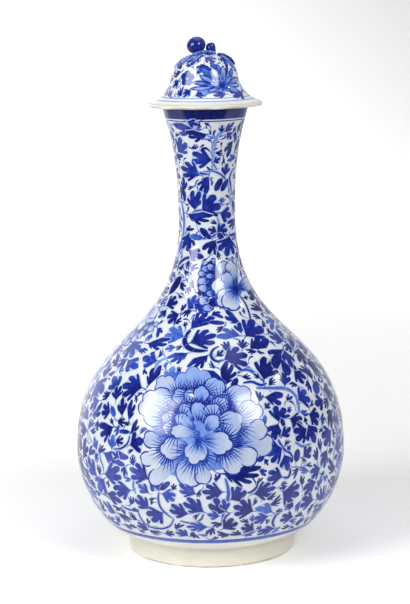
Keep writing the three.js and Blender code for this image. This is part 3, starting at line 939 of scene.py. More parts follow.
def set_leaf(painting, place, headings, sizes, gap=0.5):
    """Paints the largest leaf that fits at a place, and gives its length, or 0."""
    place = np.array(place)
    radius = painting.radius(place)
    mirror = (1, rng.choice([-1, 1]))
    make = wing if rng.uniform() < 0.6 else hand
    fingers = int(rng.choice((3, 4, 5)))
    breadth, depth = rng.uniform(0.7, 1.0), rng.uniform(0.4, 0.55)
    bend = rng.uniform(-0.7, 0.7)
    shrink = (0.66 + 0.34 * min(1, radius / 75)) if painting.outline is pot else 1
    for length in sizes:
        length = length * shrink
        if length > 5:
            shape = bent(make(length, breadth, fingers, depth) * mirror, length, bend)
        else:
            shape = bent(comma(1.4 * length, 0.26 * length), length, bend)
        centre = shape.mean(0)
        away = shape - centre
        far_out = centre + away * (1 + gap / np.maximum(np.hypot(*away.T), 0.3))[:, None]
        probe = np.vstack([far_out[2:-1], centre + away * 0.6, centre + away * 0.3])
        for heading in headings:
            if painting.free(turned(probe, place, heading, radius)):
                dark = rng.choice([0.97, 0.9, 0.8, 0.62], p=[0.35, 0.3, 0.2, 0.15])
                ends = turned(np.array([(0.1 * length, 0), (length, 0)]), place, heading, radius)
                if length > 7:
                    rim = turned(bled(shape, 0.6), place, heading, radius)
                    painting.add(rim, *ends, (0.13, 0.13), False)
                tones = (dark, dark - rng.uniform(0, 0.16))
                painting.add(turned(shape, place, heading, radius), *ends, tones)
                return length, heading
    return 0, 0


def grow_stem(painting, start, heading, length, bend):
    """A curling stem: it walks on with a slowly changing bend until it meets something."""
    change = rng.uniform(-0.002, 0.0025) * np.sign(bend)
    step = 1.5
    place, path, headings = np.array(start, float), [], []
    for _ in range(int(length / step)):
        radius = painting.radius(place)
        aim = towards(heading)
        if not painting.free(place + aim * np.linspace(2.2, 4, 3)[:, None] / radius):
            break
        path.append(place)
        headings.append(heading)
        place = place + aim * step / radius
        heading += bend * step
        bend += change * step
    return np.array(path), headings


def thin_stem(painting, path, tones, behind=False):
    """A stem in one of some tones, thinned to both ends; one laid behind all else covers nothing."""
    radii = painting.outline.at(path[:, 1])[0]
    width = np.interp(np.arange(len(path)), [0, 2, len(path) - 1], [0.3, 0.85, 0.3])
    tone = rng.choice(tones)
    painting.add(stroke(path, width / radii), path[0], path[-1], (tone, tone - 0.1), not behind, behind)


def undergrowth(painting, count, low, high):
    """Curling stems between two heights, laid under all else, so that they only show in the gaps."""
    low, high = painting.outline.rise_at(low), painting.outline.rise_at(high)
    step = 4.5
    for _ in range(count):
        place = np.array([rng.uniform(-math.pi, math.pi), rng.uniform(low, high)])
        if painting.radius(place) < rng.uniform(20, 100):
            continue
        heading, bend = rng.uniform(0, 2 * math.pi), rng.choice([-1, 1]) * rng.uniform(0.02, 0.06)
        path = []
        for _ in range(int(rng.integers(6, 12))):
            radius = painting.radius(place)
            path.append(place)
            place = place + towards(heading) * step / radius
            heading += bend * step
            if not low < place[1] < high:
                break
        if len(path) > 3:
            thin_stem(painting, np.array(path), [0.35, 0.5, 0.7], True)


def free_places(painting):
    """The bare ones of some drawn places, which are likelier where the skin is wider so that all
    parts are filled alike."""
    drawn = 400
    rises = np.linspace(painting.low, painting.high, drawn)
    share = np.cumsum(painting.outline.at(rises)[0] ** 2)
    theta = rng.uniform(-math.pi, math.pi, drawn)
    places = np.c_[theta, np.interp(rng.uniform(0, share[-1], drawn), share, rises)]
    row, column = painting.cells(places)
    return places[~painting.taken[np.clip(row, 0, len(painting.taken) - 1), column]]


def scroll(painting, stems, sizes, rounds, reserve=0):
    """Stems with leaves to either side, then rounds of ever smaller leaves in what is left. Nearer to
    the front than the reserve angle, only small leaves are added."""
    for _ in range(stems):
        for start in free_places(painting)[:1]:
            heading = rng.uniform(0, 2 * math.pi)
            bend = rng.choice([-1, 1]) * rng.uniform(0.01, 0.07)
            path, headings = grow_stem(painting, start, heading, rng.uniform(25, 80), bend)
            if len(path) < 9 or abs(path[:, 0]).min() < reserve:
                continue
            thin_stem(painting, path, [0.36, 0.5, 0.85])
            side = rng.choice([-1, 1])
            for i in [*range(3, len(path) - 2, int(rng.integers(4, 6))), len(path) - 1]:
                lean = 0 if i == len(path) - 1 else side * rng.uniform(0.7, 1.2)
                aim = headings[i] + lean
                foot = path[i] + 0.9 * towards(aim) / painting.radius(path[i])
                set_leaf(painting, foot, [aim, aim + 0.2 * side], sizes)
                side = -side
    for tries, sizes, reach in rounds:
        placed = 0
        while placed < tries:
            bare = free_places(painting)
            placed += 40
            for place in bare[:40]:
                near = abs(place[0]) < reserve
                if not painting.free(place[None]) or (near and not 5 < sizes[0] < 12):
                    continue
                first = rng.uniform(0, 2 * math.pi)
                gap = 1.0 if near else 0.5
                length, heading = set_leaf(painting, place, first + np.arange(5) * 1.26, sizes, gap)
                if length and reach:
                    stalk(painting, place, heading, reach, 0.5, 0.7, True)


def band_between(painting, low, high):
    """The shape of a band all round between two heights; its ends overlap at the back."""
    low, high = painting.outline.rise_at(low), painting.outline.rise_at(high)
    theta = np.linspace(-3.4, 3.4, 90)
    return np.vstack([np.c_[theta, np.full(90, low)], np.c_[theta[::-1], np.full(90, high)]])


def banding(painting, low, high, tones):
    """A line drawn on the turning wheel between two heights."""
    shape = band_between(painting, low, high)
    painting.add(shape, (0, shape[0, 1]), (0, shape[-1, 1]), tones)

# The painting of the pot: a large peony faces the viewer, smaller ones stand on the shoulder and
# round the back, and the leafy scroll runs between them from the foot line to the mouth band.
FOOT_LINE = (24.8, 28.4)
NECK_LINE = (336.6, 337.5)
MOUTH_BAND = 338.4
pot_painting = Painting(pot, 0.0, float(pot.rise[-1]))
pot_painting.cover(band_between(pot_painting, 0, FOOT_LINE[0]))
banding(pot_painting, *FOOT_LINE, (0.42, 0.66))
banding(pot_painting, *NECK_LINE, (0.85, 0.8))
banding(pot_painting, MOUTH_BAND, MOUTH[1] + 1, (1.0, 0.95))
# The leaves of the side that faces the viewer: kind, foot and tip (angle and height), breadth and
# cobalt.
PLACED_LEAVES = [
    ("W3", -12.5, 330.5, -54.2, 331.3, 0.48, 0.9), ("W4", 2.2, 327.3, -32, 325.7, 0.51, 0.95),
    ("H3", -26.5, 337.3, -10.8, 332.9, 0.56, 0.85), ("H4", -56.2, 313.1, -31.5, 321.3, 0.8, 0.88),
    ("H4", 10.8, 307.4, -29, 309, 0.64, 0.95), ("c", 8.2, 329.7, -2, 335.3),
    ("C", 18.5, 322.5, 16, 330.5), ("H3", 24.5, 327.7, 26.3, 334.1, 0.56, 0.9),
    ("H3", 29.2, 328.5, 48.5, 334.1, 0.4, 0.95), ("c", 20, 323.3, 33.5, 326.1),
    ("c", 10.5, 317.6, 2.2, 322.9), ("C", 13.8, 318, 24, 320.8), ("c", 10.8, 310.7, -8, 316),
    ("C", 9, 312.7, 21, 315.6), ("H3", 12.8, 305.8, 27.8, 307.8, 0.64, 0.9),
    ("w3", 51, 320.8, 38, 309, 0.58, 0.95), ("H3", 54.2, 328.5, 50.5, 321.7, 0.48, 0.9),
    ("H5", -11.5, 295.9, -52.8, 302.9, 0.64, 0.92), ("c", -11.5, 297.5, 13, 294.2),
    ("C", 20.5, 300.4, 1.8, 302.9), ("H3", 38.2, 294.7, 39, 304.5, 0.64, 0.85),
    ("H3", -49.8, 283.1, -44.2, 294.2, 0.48, 0.85), ("w4", 5.2, 295.1, -7, 279.8, 0.58, 0.95),
    ("C", 1.5, 294.7, 9, 287.6), ("O", 31.5, 293, 16.8, 283.5, 0.5, 0.95),
    ("O", 46.5, 291.8, 29.5, 283.1, 0.45, 0.93), ("H4", -24, 269, -29, 285.2, 0.64, 0.92),
    ("H4", -9.5, 269, 25.2, 278.1, 0.92, 0.92), ("w4", -40.5, 265.7, 12, 260.8, 0.42, 0.97),
    ("c", -52, 266.1, -40, 271.9), ("O", 7.3, 247.1, -14, 255.4, 0.45, 0.9),
    ("H3", 19.5, 252.1, 1.8, 255.4, 0.64, 0.85), ("H4", 19.5, 251.3, 41, 257.5, 0.8, 0.92),
    ("O", 21.8, 251.3, 31.8, 245.5, 0.7, 0.88), ("H3", 27, 266.6, 56.5, 261.6, 0.72, 0.88),
    ("H4", -38.2, 251.3, -40.2, 236.1, 0.72, 0.88), ("O", -8.2, 248, -35.5, 248.8, 0.45, 0.6),
    ("W4", 17, 245.9, -12, 241, 0.9, 0.95), ("H5", 47.5, 248, 38.8, 232.4, 0.96, 0.95),
    ("H3", -36.2, 238.1, -9.8, 230.4, 0.56, 0.8), ("O", -57.5, 245.1, -67, 234, 0.4, 0.6),
    ("c", 53.8, 273.2, 39.2, 279), ("O", -58, 204.3, -45.5, 218.5, 0.45, 0.92),
    ("H4", -53, 196.2, -39.5, 202.8, 0.8, 0.92), ("H4", -31, 191.9, -43.5, 187.7, 0.88, 0.9),
    ("H4", -19.5, 177.4, -36.5, 180.9, 0.72, 0.6), ("c", -30.8, 203.2, -38.2, 205.7),
    ("c", -17, 186.5, -24.8, 188.4), ("C", -17, 189.3, -11.5, 191.9),
    ("H4", -22.2, 195.2, -11.8, 205.7, 0.64, 0.75), ("w3", -16.8, 200, 3.7, 196.6, 0.51, 0.85),
    ("W4", -15.2, 182.8, 5.2, 191.9, 0.64, 0.92), ("O", -0.8, 187.4, 14.8, 186.2, 0.3, 0.8),
    ("H5", -13.8, 173.6, 5, 180.6, 0.64, 0.92), ("w3", 24.2, 177.1, 5.8, 180, 0.58, 0.65),
    ("W3", 29, 185.8, 16.2, 194.2, 0.58, 0.85), ("H3", 26, 178.9, 26.3, 186.2, 0.72, 0.8),
    ("C", 38.5, 188, 34, 193.2), ("H3", 72, 199, 57, 205.7, 0.8, 0.9),
    ("H4", 29, 176.5, 48, 184.9, 0.8, 0.9), ("w4", -47.2, 170.9, -29, 174.7, 0.51, 0.9),
    ("H5", -63.8, 170.1, -52.2, 160.7, 0.8, 0.85), ("H3", -32.5, 161, -44.2, 160.1, 0.72, 0.85),
    ("W4", -0.8, 166, -14.5, 161, 0.51, 0.92), ("W4", -13.8, 167.2, -27.2, 164.5, 0.58, 0.85),
    ("W3", -32, 144.5, -27.2, 158.3, 0.51, 0.95), ("H3", -20.8, 149.2, -21.2, 158.6, 0.72, 0.55),
    ("H5", -35.2, 142.8, -48.5, 143.8, 0.8, 0.95), ("H3", -50.5, 138.3, -57.7, 147.2, 0.72, 0.8),
    ("H4", -48.5, 131.7, -51.2, 141.8, 0.72, 0.9), ("H3", -42, 121.8, -45.2, 134.7, 0.48, 0.85),
    ("w3", -37.8, 119.9, -39.5, 134.3, 0.45, 0.85), ("w3", -36, 110.3, -32.5, 121, 0.51, 0.9),
    ("H3", -55.8, 158.3, -61.3, 152.7, 0.72, 0.8), ("H3", -54.8, 158.3, -43.8, 153.3, 0.64, 0.8),
    ("H4", -72.8, 164.5, -79.5, 157.1, 0.64, 0.85), ("H3", -66.8, 142.8, -71.2, 152.4, 0.64, 0.85),
    ("H4", -72.5, 138.3, -60.8, 130.6, 0.88, 0.85), ("H4", -49.8, 123.4, -56.8, 120.6, 0.8, 0.95),
    ("H3", -61.3, 127.6, -69, 121, 0.64, 0.85), ("H3", -57.7, 114.3, -57.7, 106.2, 0.72, 0.9),
    ("O", -50.5, 126.8, -46.2, 120.3, 0.5, 0.6), ("W4", -46.2, 112.7, -55.8, 109.9, 0.9, 0.93),
    ("H3", -45.5, 96.4, -46.2, 107.5, 0.72, 0.65), ("O", -36.2, 111.5, -42.8, 110.7, 0.3, 0.8),
    ("H3", -35.5, 102.2, -29.2, 107.1, 0.96, 0.95), ("w4", -50.5, 91.9, -35.8, 91.9, 0.51, 0.75),
    ("H3", -41, 91.1, -45.2, 94.4, 0.64, 0.9), ("H5", -26.5, 78.7, -35.2, 86.5, 0.72, 0.88),
    ("H4", -50, 75.8, -39, 77, 0.64, 0.8), ("H4", -35.5, 67.6, -46.5, 66, 0.56, 0.82),
    ("H3", -51, 59.9, -42.2, 54.8, 0.56, 0.82), ("H4", -27.5, 54, -34.2, 63.1, 0.64, 0.85),
    ("H3", -26.8, 67.6, -31.5, 73.7, 0.64, 0.7), ("w4", -47.8, 44.5, -39.8, 41.1, 0.58, 0.85),
    ("H3", -51, 71.3, -57.5, 59.1, 0.72, 0.8), ("H3", -56.2, 71.7, -65, 81.6, 0.56, 0.8),
    ("H3", -55.8, 92.3, -58.8, 101.4, 0.56, 0.8), ("H3", -49.5, 43.7, -58.2, 47.8, 0.56, 0.7),
    ("H3", -26.3, 77.9, -20.5, 73.3, 0.8, 0.75), ("O", -21.5, 70.9, -17, 77.9, 0.4, 0.9),
    ("H4", -21.5, 52.1, -29.8, 45.6, 0.8, 0.85), ("H4", -31.8, 34.4, -38.2, 37.9, 0.72, 0.85),
    ("c", -23, 59.9, -26.5, 57.6), ("H4", -20.8, 68, -14.5, 65.6, 0.72, 0.75),
    ("H5", -6.5, 69.2, -14, 74.1, 0.64, 0.8), ("H4", -3.5, 54.4, -12.2, 63.9, 0.56, 0.85),
    ("H4", -10.2, 52.5, -19, 54.8, 0.64, 0.85), ("H5", 4.5, 70.4, -4, 70, 0.72, 0.97),
    ("H4", 6.2, 54, -2, 61.1, 0.72, 0.9), ("H3", 6, 54.8, 4.5, 64.7, 0.56, 0.85),
    ("H3", 3.2, 50.5, -2.2, 51.7, 0.64, 0.75), ("H4", 7.8, 63.9, 14.5, 70.9, 0.8, 0.88),
    ("w5", 5, 84.5, 20.8, 84.5, 0.5, 0.97), ("H5", 17.5, 67.2, 27.2, 69.6, 0.64, 0.92),
    ("H4", 30, 77.4, 23, 82.4, 0.72, 0.95), ("H5", 17.8, 52.8, 8.8, 57.9, 0.8, 0.97),
    ("H3", 27, 49.8, 19.2, 57.6, 0.56, 0.6), ("H4", 25.5, 46.7, 18, 44.1, 0.64, 0.85),
    ("H4", 40.2, 41.1, 32, 41.5, 0.64, 0.85), ("H5", 30.8, 65.6, 39.5, 58.3, 0.88, 0.93),
    ("H3", 32.5, 69.6, 28.8, 68.4, 0.56, 0.85), ("H4", 49.5, 66.8, 41.2, 63.5, 0.72, 0.9),
    ("H4", 50.8, 51.3, 41.5, 50.9, 0.72, 0.88), ("H4", 51.5, 77, 45, 73.3, 0.8, 0.88),
    ("H4", 4.8, 39, 11, 46.3, 0.8, 0.95), ("H4", 20, 35.4, 12.8, 39.7, 0.64, 0.9),
    ("H5", -2, 41.1, -12, 41.5, 0.48, 0.75), ("H4", -11.8, 32.3, -16.5, 38.2, 0.72, 0.85),
    ("H4", 31.5, 34, 21.2, 33.3, 0.48, 0.9), ("w3", 26.3, 136.5, 36.5, 137.2, 0.7, 0.9),
    ("H4", 30.5, 118.3, 31.5, 130.2, 1.04, 0.97), ("H3", 25, 128.7, 27.8, 132.8, 0.64, 0.9),
    ("O", 22.8, 117.1, 24.5, 124.5, 0.5, 0.65), ("O", 32, 120.6, 32.8, 114.3, 0.6, 0.95),
    ("H3", 30, 117.1, 25.8, 106.2, 0.8, 0.95), ("H5", 30.5, 99.3, 23.2, 93.5, 1.04, 0.92),
    ("O", 22, 94.8, 18.8, 92.3, 0.7, 0.88), ("c", 40.8, 123.8, 38, 131.3),
    ("C", 43.8, 128, 49.2, 123.4), ("H4", 44, 130.6, 52.2, 135, 0.88, 0.8),
    ("H5", 36.5, 119.1, 43.8, 113.9, 0.8, 0.95), ("H4", 48.2, 119.1, 54.8, 112.7, 0.88, 0.95),
    ("H3", 30.5, 108.3, 36.5, 111.1, 0.56, 0.92), ("H4", 45, 109.1, 37, 104.2, 0.8, 0.92),
    ("H3", 46, 111.9, 49.5, 97.7, 0.72, 0.92), ("H4", 62.5, 101.4, 53.8, 95.6, 0.8, 0.88),
    ("H3", 32.8, 97.3, 35, 99.7, 0.64, 0.9), ("O", 37, 86.9, 38.5, 96.4, 0.6, 0.95),
    ("H3", 41, 89.4, 46.5, 94.4, 0.72, 0.97), ("H3", 31.3, 94, 33.8, 82, 0.72, 0.85),
    ("H4", 57.2, 88.6, 51.5, 77.9, 0.64, 0.85), ("H4", 50.5, 150.1, 53, 139.7, 0.88, 0.97),
    ("H3", 39.2, 141.8, 42.2, 152.1, 0.64, 0.95), ("O", 57.5, 131.7, 64, 137.9, 0.7, 0.9),
    ("H3", 62, 124.9, 54.2, 124.5, 0.72, 0.92), ("H3", 68.8, 103.4, 68.8, 114.3, 0.48, 0.85),
    ("H5", 8.8, 162.8, 24, 166.6, 0.88, 0.97), ("w4", 6.5, 146.2, 9.2, 162.8, 0.51, 0.97),
    ("W3", 6.8, 150.1, -2, 158, 0.45, 0.88), ("H4", 28.5, 147.9, 35.5, 163.4, 0.64, 0.97),
    ("W3", 27.8, 168.3, 47.8, 169.5, 0.58, 0.88), ("H4", 53.5, 164.2, 36.5, 153.6, 0.72, 0.95),
    ("H3", 53.8, 163.7, 50, 151.7, 0.56, 0.88), ("H4", 61, 168.6, 50, 175.3, 0.64, 0.85),
    ("O", 14.3, 150.8, 10.8, 144.5, 0.5, 0.9), ("C", 23.2, 159.5, 28, 163.1),
    ("H3", 26.8, 149.2, 23.5, 152.4, 0.56, 0.85),
]
# Its stems: half-width, cobalt and the places (angle and height) they run through.
PLACED_STEMS = [
    (0.7, 0.9, (70.2, 300), (54.2, 297.1), (49.2, 291.8), (50, 286.4)),
    (1, 0.95, (-58, 221.6), (-57, 226.8), (-45.8, 231.2), (-32.8, 233.2), (-22.5, 231.2)),
    (0.8, 0.9, (36.8, 206.4), (43.2, 202.5), (46, 197.2), (44.5, 191.6), (41.5, 186.2), (35, 181.3),
     (29, 178)),
    (2, 0.98, (-15, 181.9), (-18.2, 178.6), (-18.5, 174.7), (-15.2, 170.9), (-10.8, 169.2), (-5.5, 168.6),
     (-0.8, 169.2)),
    (1.1, 0.95, (6.8, 171.5), (2.5, 169.8), (0.5, 166), (2.2, 163.1), (5, 161.6), (8.2, 162.8),
     (12.2, 162.5)),
    (1.3, 0.6, (8.8, 162.8), (15.8, 161.6), (19.5, 159.2), (22.2, 156.4), (25.8, 152.1), (28.5, 147.9)),
    (1.3, 0.55, (14.3, 153.3), (18.8, 156.1), (23, 154.9), (26, 150.8), (28.5, 145.9)),
    (1.1, 0.8, (16.8, 147.2), (21.8, 147.9), (25.8, 144.2), (29.5, 145.5)),
    (1.3, 0.5, (23, 143.2), (27.8, 142.5), (33, 141.4), (37.8, 140.7), (42.2, 137.6), (43.8, 132.1),
     (43, 125.3), (42.2, 121.8)),
    (1, 0.8, (28.5, 107.9), (29.8, 102.6), (31.3, 97.7), (34.2, 95.2), (36, 89.4)),
    (1.1, 0.5, (-54.8, 247.6), (-52.5, 254.6), (-52.2, 262.4), (-55.2, 269.9), (-62, 275.7)),
    (1, 0.4, (9.2, 247.1), (17.2, 249.2), (21.8, 252.9), (24.5, 258.7), (20.5, 264.5)),
    (0.8, 0.85, (-22, 69.2), (-22.8, 63.5), (-22.5, 56.8), (-20.2, 51.3), (-17, 47.5)),
    (0.8, 0.85, (-17, 47.5), (-19, 40.8), (-23.5, 37.2), (-29.5, 36.8), (-33, 40.4), (-34.2, 47.1),
     (-33.8, 52.5)),
    (0.8, 0.8, (-44.8, 96.8), (-40.2, 98.1), (-36.8, 102.6), (-36, 108.7)),
    (0.7, 0.7, (-53.2, 93.1), (-53.2, 86.9), (-51, 81.6), (-50.5, 76.6)),
    (0.7, 0.8, (-57, 58.3), (-52.2, 57.9), (-49.5, 54.8)),
    (0.8, 0.8, (-43.2, 52.8), (-40.2, 50.5), (-35.8, 50.1)),
    (1.2, 0.62, (5.5, 81.2), (6.5, 75), (7, 68), (5.8, 59.9), (4.8, 53.2), (4.2, 44.5)),
    (1, 0.93, (32.2, 49), (29, 46), (28.5, 39.7), (31.8, 33.3)),
    (0.9, 0.93, (18.8, 77), (18.8, 72.5), (16.5, 68.8), (14.5, 68.4)),
    (0.8, 0.85, (7.8, 52.8), (5.5, 49.8), (4.8, 42.6)),
    (0.8, 0.85, (-3.7, 52.8), (-4.5, 48.2), (-7.3, 44.8), (-10.8, 44.5), (-14.3, 46)),
    (1, 0.9, (30, 77.4), (33, 75.8), (34.2, 79.9), (33.5, 86.5)),
    (1, 0.4, (-13.2, 182.2), (-14.5, 187.4), (-14.8, 192.6)),
    (1, 0.35, (-8, 330.5), (-22.8, 333.7), (-38.8, 335.7), (-64.2, 333.3)),
    (1, 0.35, (11, 299.6), (12.5, 307.4), (14, 315.2), (17, 320.4)),
    (0.9, 0.5, (-33.2, 77), (-34.2, 70.4), (-33, 65.2)),
    (0.9, 0.4, (-32.5, 143.8), (-31.8, 161), (-25, 164.2)),
    (0.9, 0.5, (37.2, 101.8), (41.2, 96.8), (46.2, 97.7)),
    (0.6, 0.75, (-9.5, 298.4), (11, 299.2), (24.8, 297.1), (38.2, 293), (46.8, 288.1), (50.3, 283.1)),
    (0.7, 0.8, (-22.2, 247.6), (-6.2, 247.1), (11.2, 248.4), (21.8, 252.9), (24.2, 257.5)),
    (0.7, 0.8, (-43.5, 263.3), (-30.8, 266.6), (-17.5, 269), (-3.5, 269.9)),
    (0.5, 0.8, (14.5, 268.2), (27, 265.7), (41.5, 264.5)),
    (0.5, 0.7, (2, 309), (9, 307.4), (14.5, 303.7), (20.5, 299.6)),
    (0.7, 0.45, (10.8, 311.1), (10.5, 316.8), (13.5, 321.3), (18.2, 324.9), (21, 328.1), (26, 327.7)),
    (0.9, 0.8, (61, 299.6), (49, 292.6), (56.8, 286), (57.5, 279)),
    (0.8, 0.85, (-30.8, 301.2), (-17, 298.4), (-4, 296.7), (7.3, 296.7)),
    (0.8, 0.95, (40, 250.4), (46.5, 245.1), (50.3, 240.2)),
    (0.6, 0.5, (-43.5, 251.7), (-51, 245.5), (-55.2, 238.9), (-52.2, 233.2)),
    (0.5, 0.6, (-50.8, 336.1), (-39.2, 334.9), (-26, 333.7), (-14, 330.5)),
]
for row in PLACED_STEMS:
    place_stem(pot_painting, *row)
for row in PLACED_LEAVES:
    place_leaf(pot_painting, *row)
# The flowers: angle, height, turn, scale, petals and the spacing of the fine strokes.
PLACED_FLOWERS = [
    (-5, 109.5, 0, 1.0, PEONY, 1.5),
    (40, 208.6, 0, 1.0, SHOULDER_PEONY, 1.5),
    (-78, 190, 130, 0.8, SHOULDER_PEONY, 3.4),
    (124, 102, 14, 0.95, PEONY, 3.4),
    (-130, 106, -10, 0.95, PEONY, 3.4),
    (178, 196, -90, 1.2, SHOULDER_PEONY, 3.4),
]
for row in PLACED_FLOWERS:
    flower(pot_painting, *row, 0.8, 0.55)
scroll(
    pot_painting,
    170,
    (18, 16, 14, 12, 10.5, 9),
    [
        (3500, (18, 16), 8),
        (4500, (14, 12), 7),
        (4500, (10.5, 9), 6),
        (3500, (7.5, 6.2), 5),
        (2500, (4.9, 4.2), 3),
    ],
    math.radians(60),
)
undergrowth(pot_painting, 260, 30, 334)
SEAMS = [pot.rise_at(BELLY[1]), pot.rise_at(NECK_SEAM)]
pot_cut = cut_skin(pot_painting, SEAMS, 5.4)
AROUND = 144


def wall_inside(line):
    """The inner wall level with each outer point: the wall, square to the surface, thins evenly from
    the neck's seam up to the waist."""
    share = np.clip((line[:, 1] - NECK_SEAM) / (WAIST[1] - NECK_SEAM), 0, 1)
    wall = BODY_WALL + (NECK_WALL - BODY_WALL) * share
    return np.c_[line[:, 0] - wall / directions(line)[:, 0], line[:, 1]]


def flat_ring(ring, radius, height, up, band, ivory=0.0):
    """A level face from a ring of places to a circle, facing up if 1 and down if -1."""
    return between(ring, ring_at(radius, height, AROUND), (0, 0, up), band, ivory)


# The lower half of the pot: a thrown porcelain bowl with a level floor, cut true at its widest place,
# where the upper half is luted on with slip; blue-white glaze over the painting, ivory below it.
FOOT_BORE = 58.5
BOWL_START = 16
skin, (bottom, top) = painted_patch(pot_painting, pot_cut, 0.0, SEAMS[0], (0.08, 0.9), FOOT_LINE[0])
line = pot.points[(pot.points[:, 1] > BOWL_START) & (pot.points[:, 1] < BELLY[1])]
bowl = line - directions(line) * BODY_WALL
floor = FOOT_TOP + FLOOR_THICKNESS
bowl = bowl[bowl[:, 1] > floor + 0.5][::4]
corner = (bowl[0, 0] - (bowl[0, 1] - floor) * 2, floor)
inner = np.vstack([[(0, floor)], [corner], bowl, [(BELLY[0] - BODY_WALL, BELLY[1])]])
piece(
    "lower_half",
    [
        skin,
        flat_ring(top, BELLY[0] - BODY_WALL, BELLY[1], 1, (0.905, 0.915)),
        lathe(inner, -1, AROUND, (0.995, 0.92)),
        flat_ring(bottom, FOOT_BORE, FOOT_TOP, -1, (0.07, 0.05), ivory=1.0),
        lathe([(0, FOOT_TOP), (FOOT_BORE, FOOT_TOP)], 1, AROUND, (0.01, 0.045), ivory=1.0),
    ],
    PORCELAIN,
    "vase",
    ["lower_body"],
)

# The upper half: thrown separately and closed in over the shoulder to the foot of the neck, painted
# with the same scroll across the luted seam; its inside is glazed plain.
skin, (bottom, top) = painted_patch(pot_painting, pot_cut, *SEAMS, (0.02, 0.9), 0)
line = pot.points[(pot.points[:, 1] >= BELLY[1]) & (pot.points[:, 1] < NECK_SEAM)]
inner = wall_inside(line)[::6]
inner[0] = (BELLY[0] - BODY_WALL, BELLY[1])
neck_root = wall_inside(pot.points)[np.searchsorted(pot.points[:, 1], NECK_SEAM)][0]
inner = np.vstack([inner, [(neck_root, NECK_SEAM)]])
piece(
    "upper_half",
    [
        skin,
        flat_ring(top, neck_root, NECK_SEAM, 1, (0.905, 0.915)),
        lathe(inner, -1, AROUND, (0.92, 0.995)),
        flat_ring(bottom, BELLY[0] - BODY_WALL, BELLY[1], -1, (0.015, 0.005)),
    ],
    PORCELAIN,
    "vase",
    ["upper_body"],
)

# The neck: a thrown tube luted into the shoulder, slender at the waist and flared to a rounded lip;
# the painting ends at a thin line and a broad dark band under the lip.
skin, (bottom, top) = painted_patch(pot_painting, pot_cut, SEAMS[1], float(pot.rise[-1]), (0.02, 0.88), 0)
line = pot.points[pot.points[:, 1] > NECK_SEAM]
inner = np.vstack([[(neck_root, NECK_SEAM)], wall_inside(line)[3::8]])
lip_low = pot.points[-1]
turn = np.linspace(0, math.pi / 2, 7)
outer_lip = np.c_[lip_low[0] - LIP_ROUND + LIP_ROUND * np.cos(turn), lip_low[1] + LIP_ROUND * np.sin(turn)]
bore = inner[-1, 0]
inner = inner[inner[:, 1] < lip_low[1] - 0.5]
inner_lip = np.c_[bore + LIP_ROUND - LIP_ROUND * np.sin(turn), lip_low[1] + LIP_ROUND * np.cos(turn)]
rim = np.vstack([outer_lip, inner_lip])
piece(
    "neck_tube",
    [
        skin,
        between(top, ring_at(*rim[1], AROUND), None, (0.88, 0.885), cobalt=0.95),
        lathe(rim[1:], 1, AROUND, (0.89, 0.92), 0.9),
        lathe(np.vstack([inner, rim[-1:]]), -1, AROUND, (0.995, 0.925)),
        flat_ring(bottom, neck_root, NECK_SEAM, -1, (0.015, 0.005)),
    ],
    PORCELAIN,
    "vase",
    ["neck"],
)

# The standing ring: turned from the same clay, covered with a thin ivory glaze that was wiped off
# below a fine step, and browned at the edge that touches the table by wear and by painted contact shade.
def fired_body(name, colour, speck, roughness):
    """A pale fired surface with a faint mottle, small iron specks and a lower edge browned by wear and
    painted shade.
    """
    made, tree, shader, _ = new_finish(name)
    place = node(tree, "ShaderNodeTexCoord").outputs["Object"]
    darker = tuple(0.86 * c for c in colour)
    body = ramp(tree, noise(tree, place, 45.0, 4.0), [(0.25, darker), (0.6, colour)])
    grains = node(tree, "ShaderNodeTexVoronoi", [("Vector", place), ("Scale", 85.0)]).outputs["Distance"]
    dots = remap(tree, grains, 0.03, 0.09, 1.0, 0.0)
    spots = maths(tree, "MULTIPLY", dots, remap(tree, noise(tree, place, 23.0), 0.56, 0.7))
    spotted = mix(tree, spots, body, (*speck, 1))
    wear_and_shade = node(tree, "ShaderNodeGroup", [("Color", spotted)], node_tree=WEAR_AND_SHADE)
    tree.links.new(wear_and_shade.outputs["Color"], shader.inputs["Base Color"])
    shader.inputs["Roughness"].default_value = roughness
    return made


IVORY = fired_body("ivory_glaze", (0.79, 0.765, 0.66), (0.16, 0.08, 0.03), 0.3)
FOOT_TOP_RADIUS = 66.3
FOOT_REST_RADIUS = 65.3
FOOT_EDGE = 1.1
WIPED_TOP = 8.5
WIPED_DEPTH = 0.45
turn = np.linspace(0, math.pi / 2, 6)
heights = np.array([1.6, 3, 5, 7, 7.5, 7.8, 8.1, WIPED_TOP, 9, 11, 13, 15, FOOT_TOP])
side = FOOT_REST_RADIUS + (FOOT_TOP_RADIUS - FOOT_REST_RADIUS) * heights / FOOT_TOP
wiped = WIPED_DEPTH * np.clip(WIPED_TOP - heights, 0, 1) * np.clip((heights - 1.2) / 4, 0, 1)
rest = FOOT_REST_RADIUS - FOOT_EDGE
outer = np.vstack(
    [
        np.c_[rest + FOOT_EDGE * np.sin(turn), FOOT_EDGE - FOOT_EDGE * np.cos(turn)],
        np.c_[side - wiped, heights],
    ]
)
foot = np.vstack(
    [
        [(FOOT_BORE, FOOT_TOP)],
        np.c_[FOOT_BORE + FOOT_EDGE - FOOT_EDGE * np.cos(turn), FOOT_EDGE - FOOT_EDGE * np.sin(turn)],
    ]
)
piece(
    "standing_ring",
    [
        lathe(foot, 1, AROUND, (0.6, 0.95)),
        lathe([foot[-1], outer[0]], 1, AROUND, (0.55, 0.6)),
        lathe(outer, 1, AROUND, (0.02, 0.55)),
        lathe([outer[-1], foot[0]], 1, AROUND, (0.96, 0.99)),
    ],
    IVORY,
    "vase",
    ["foot_ring"],
)

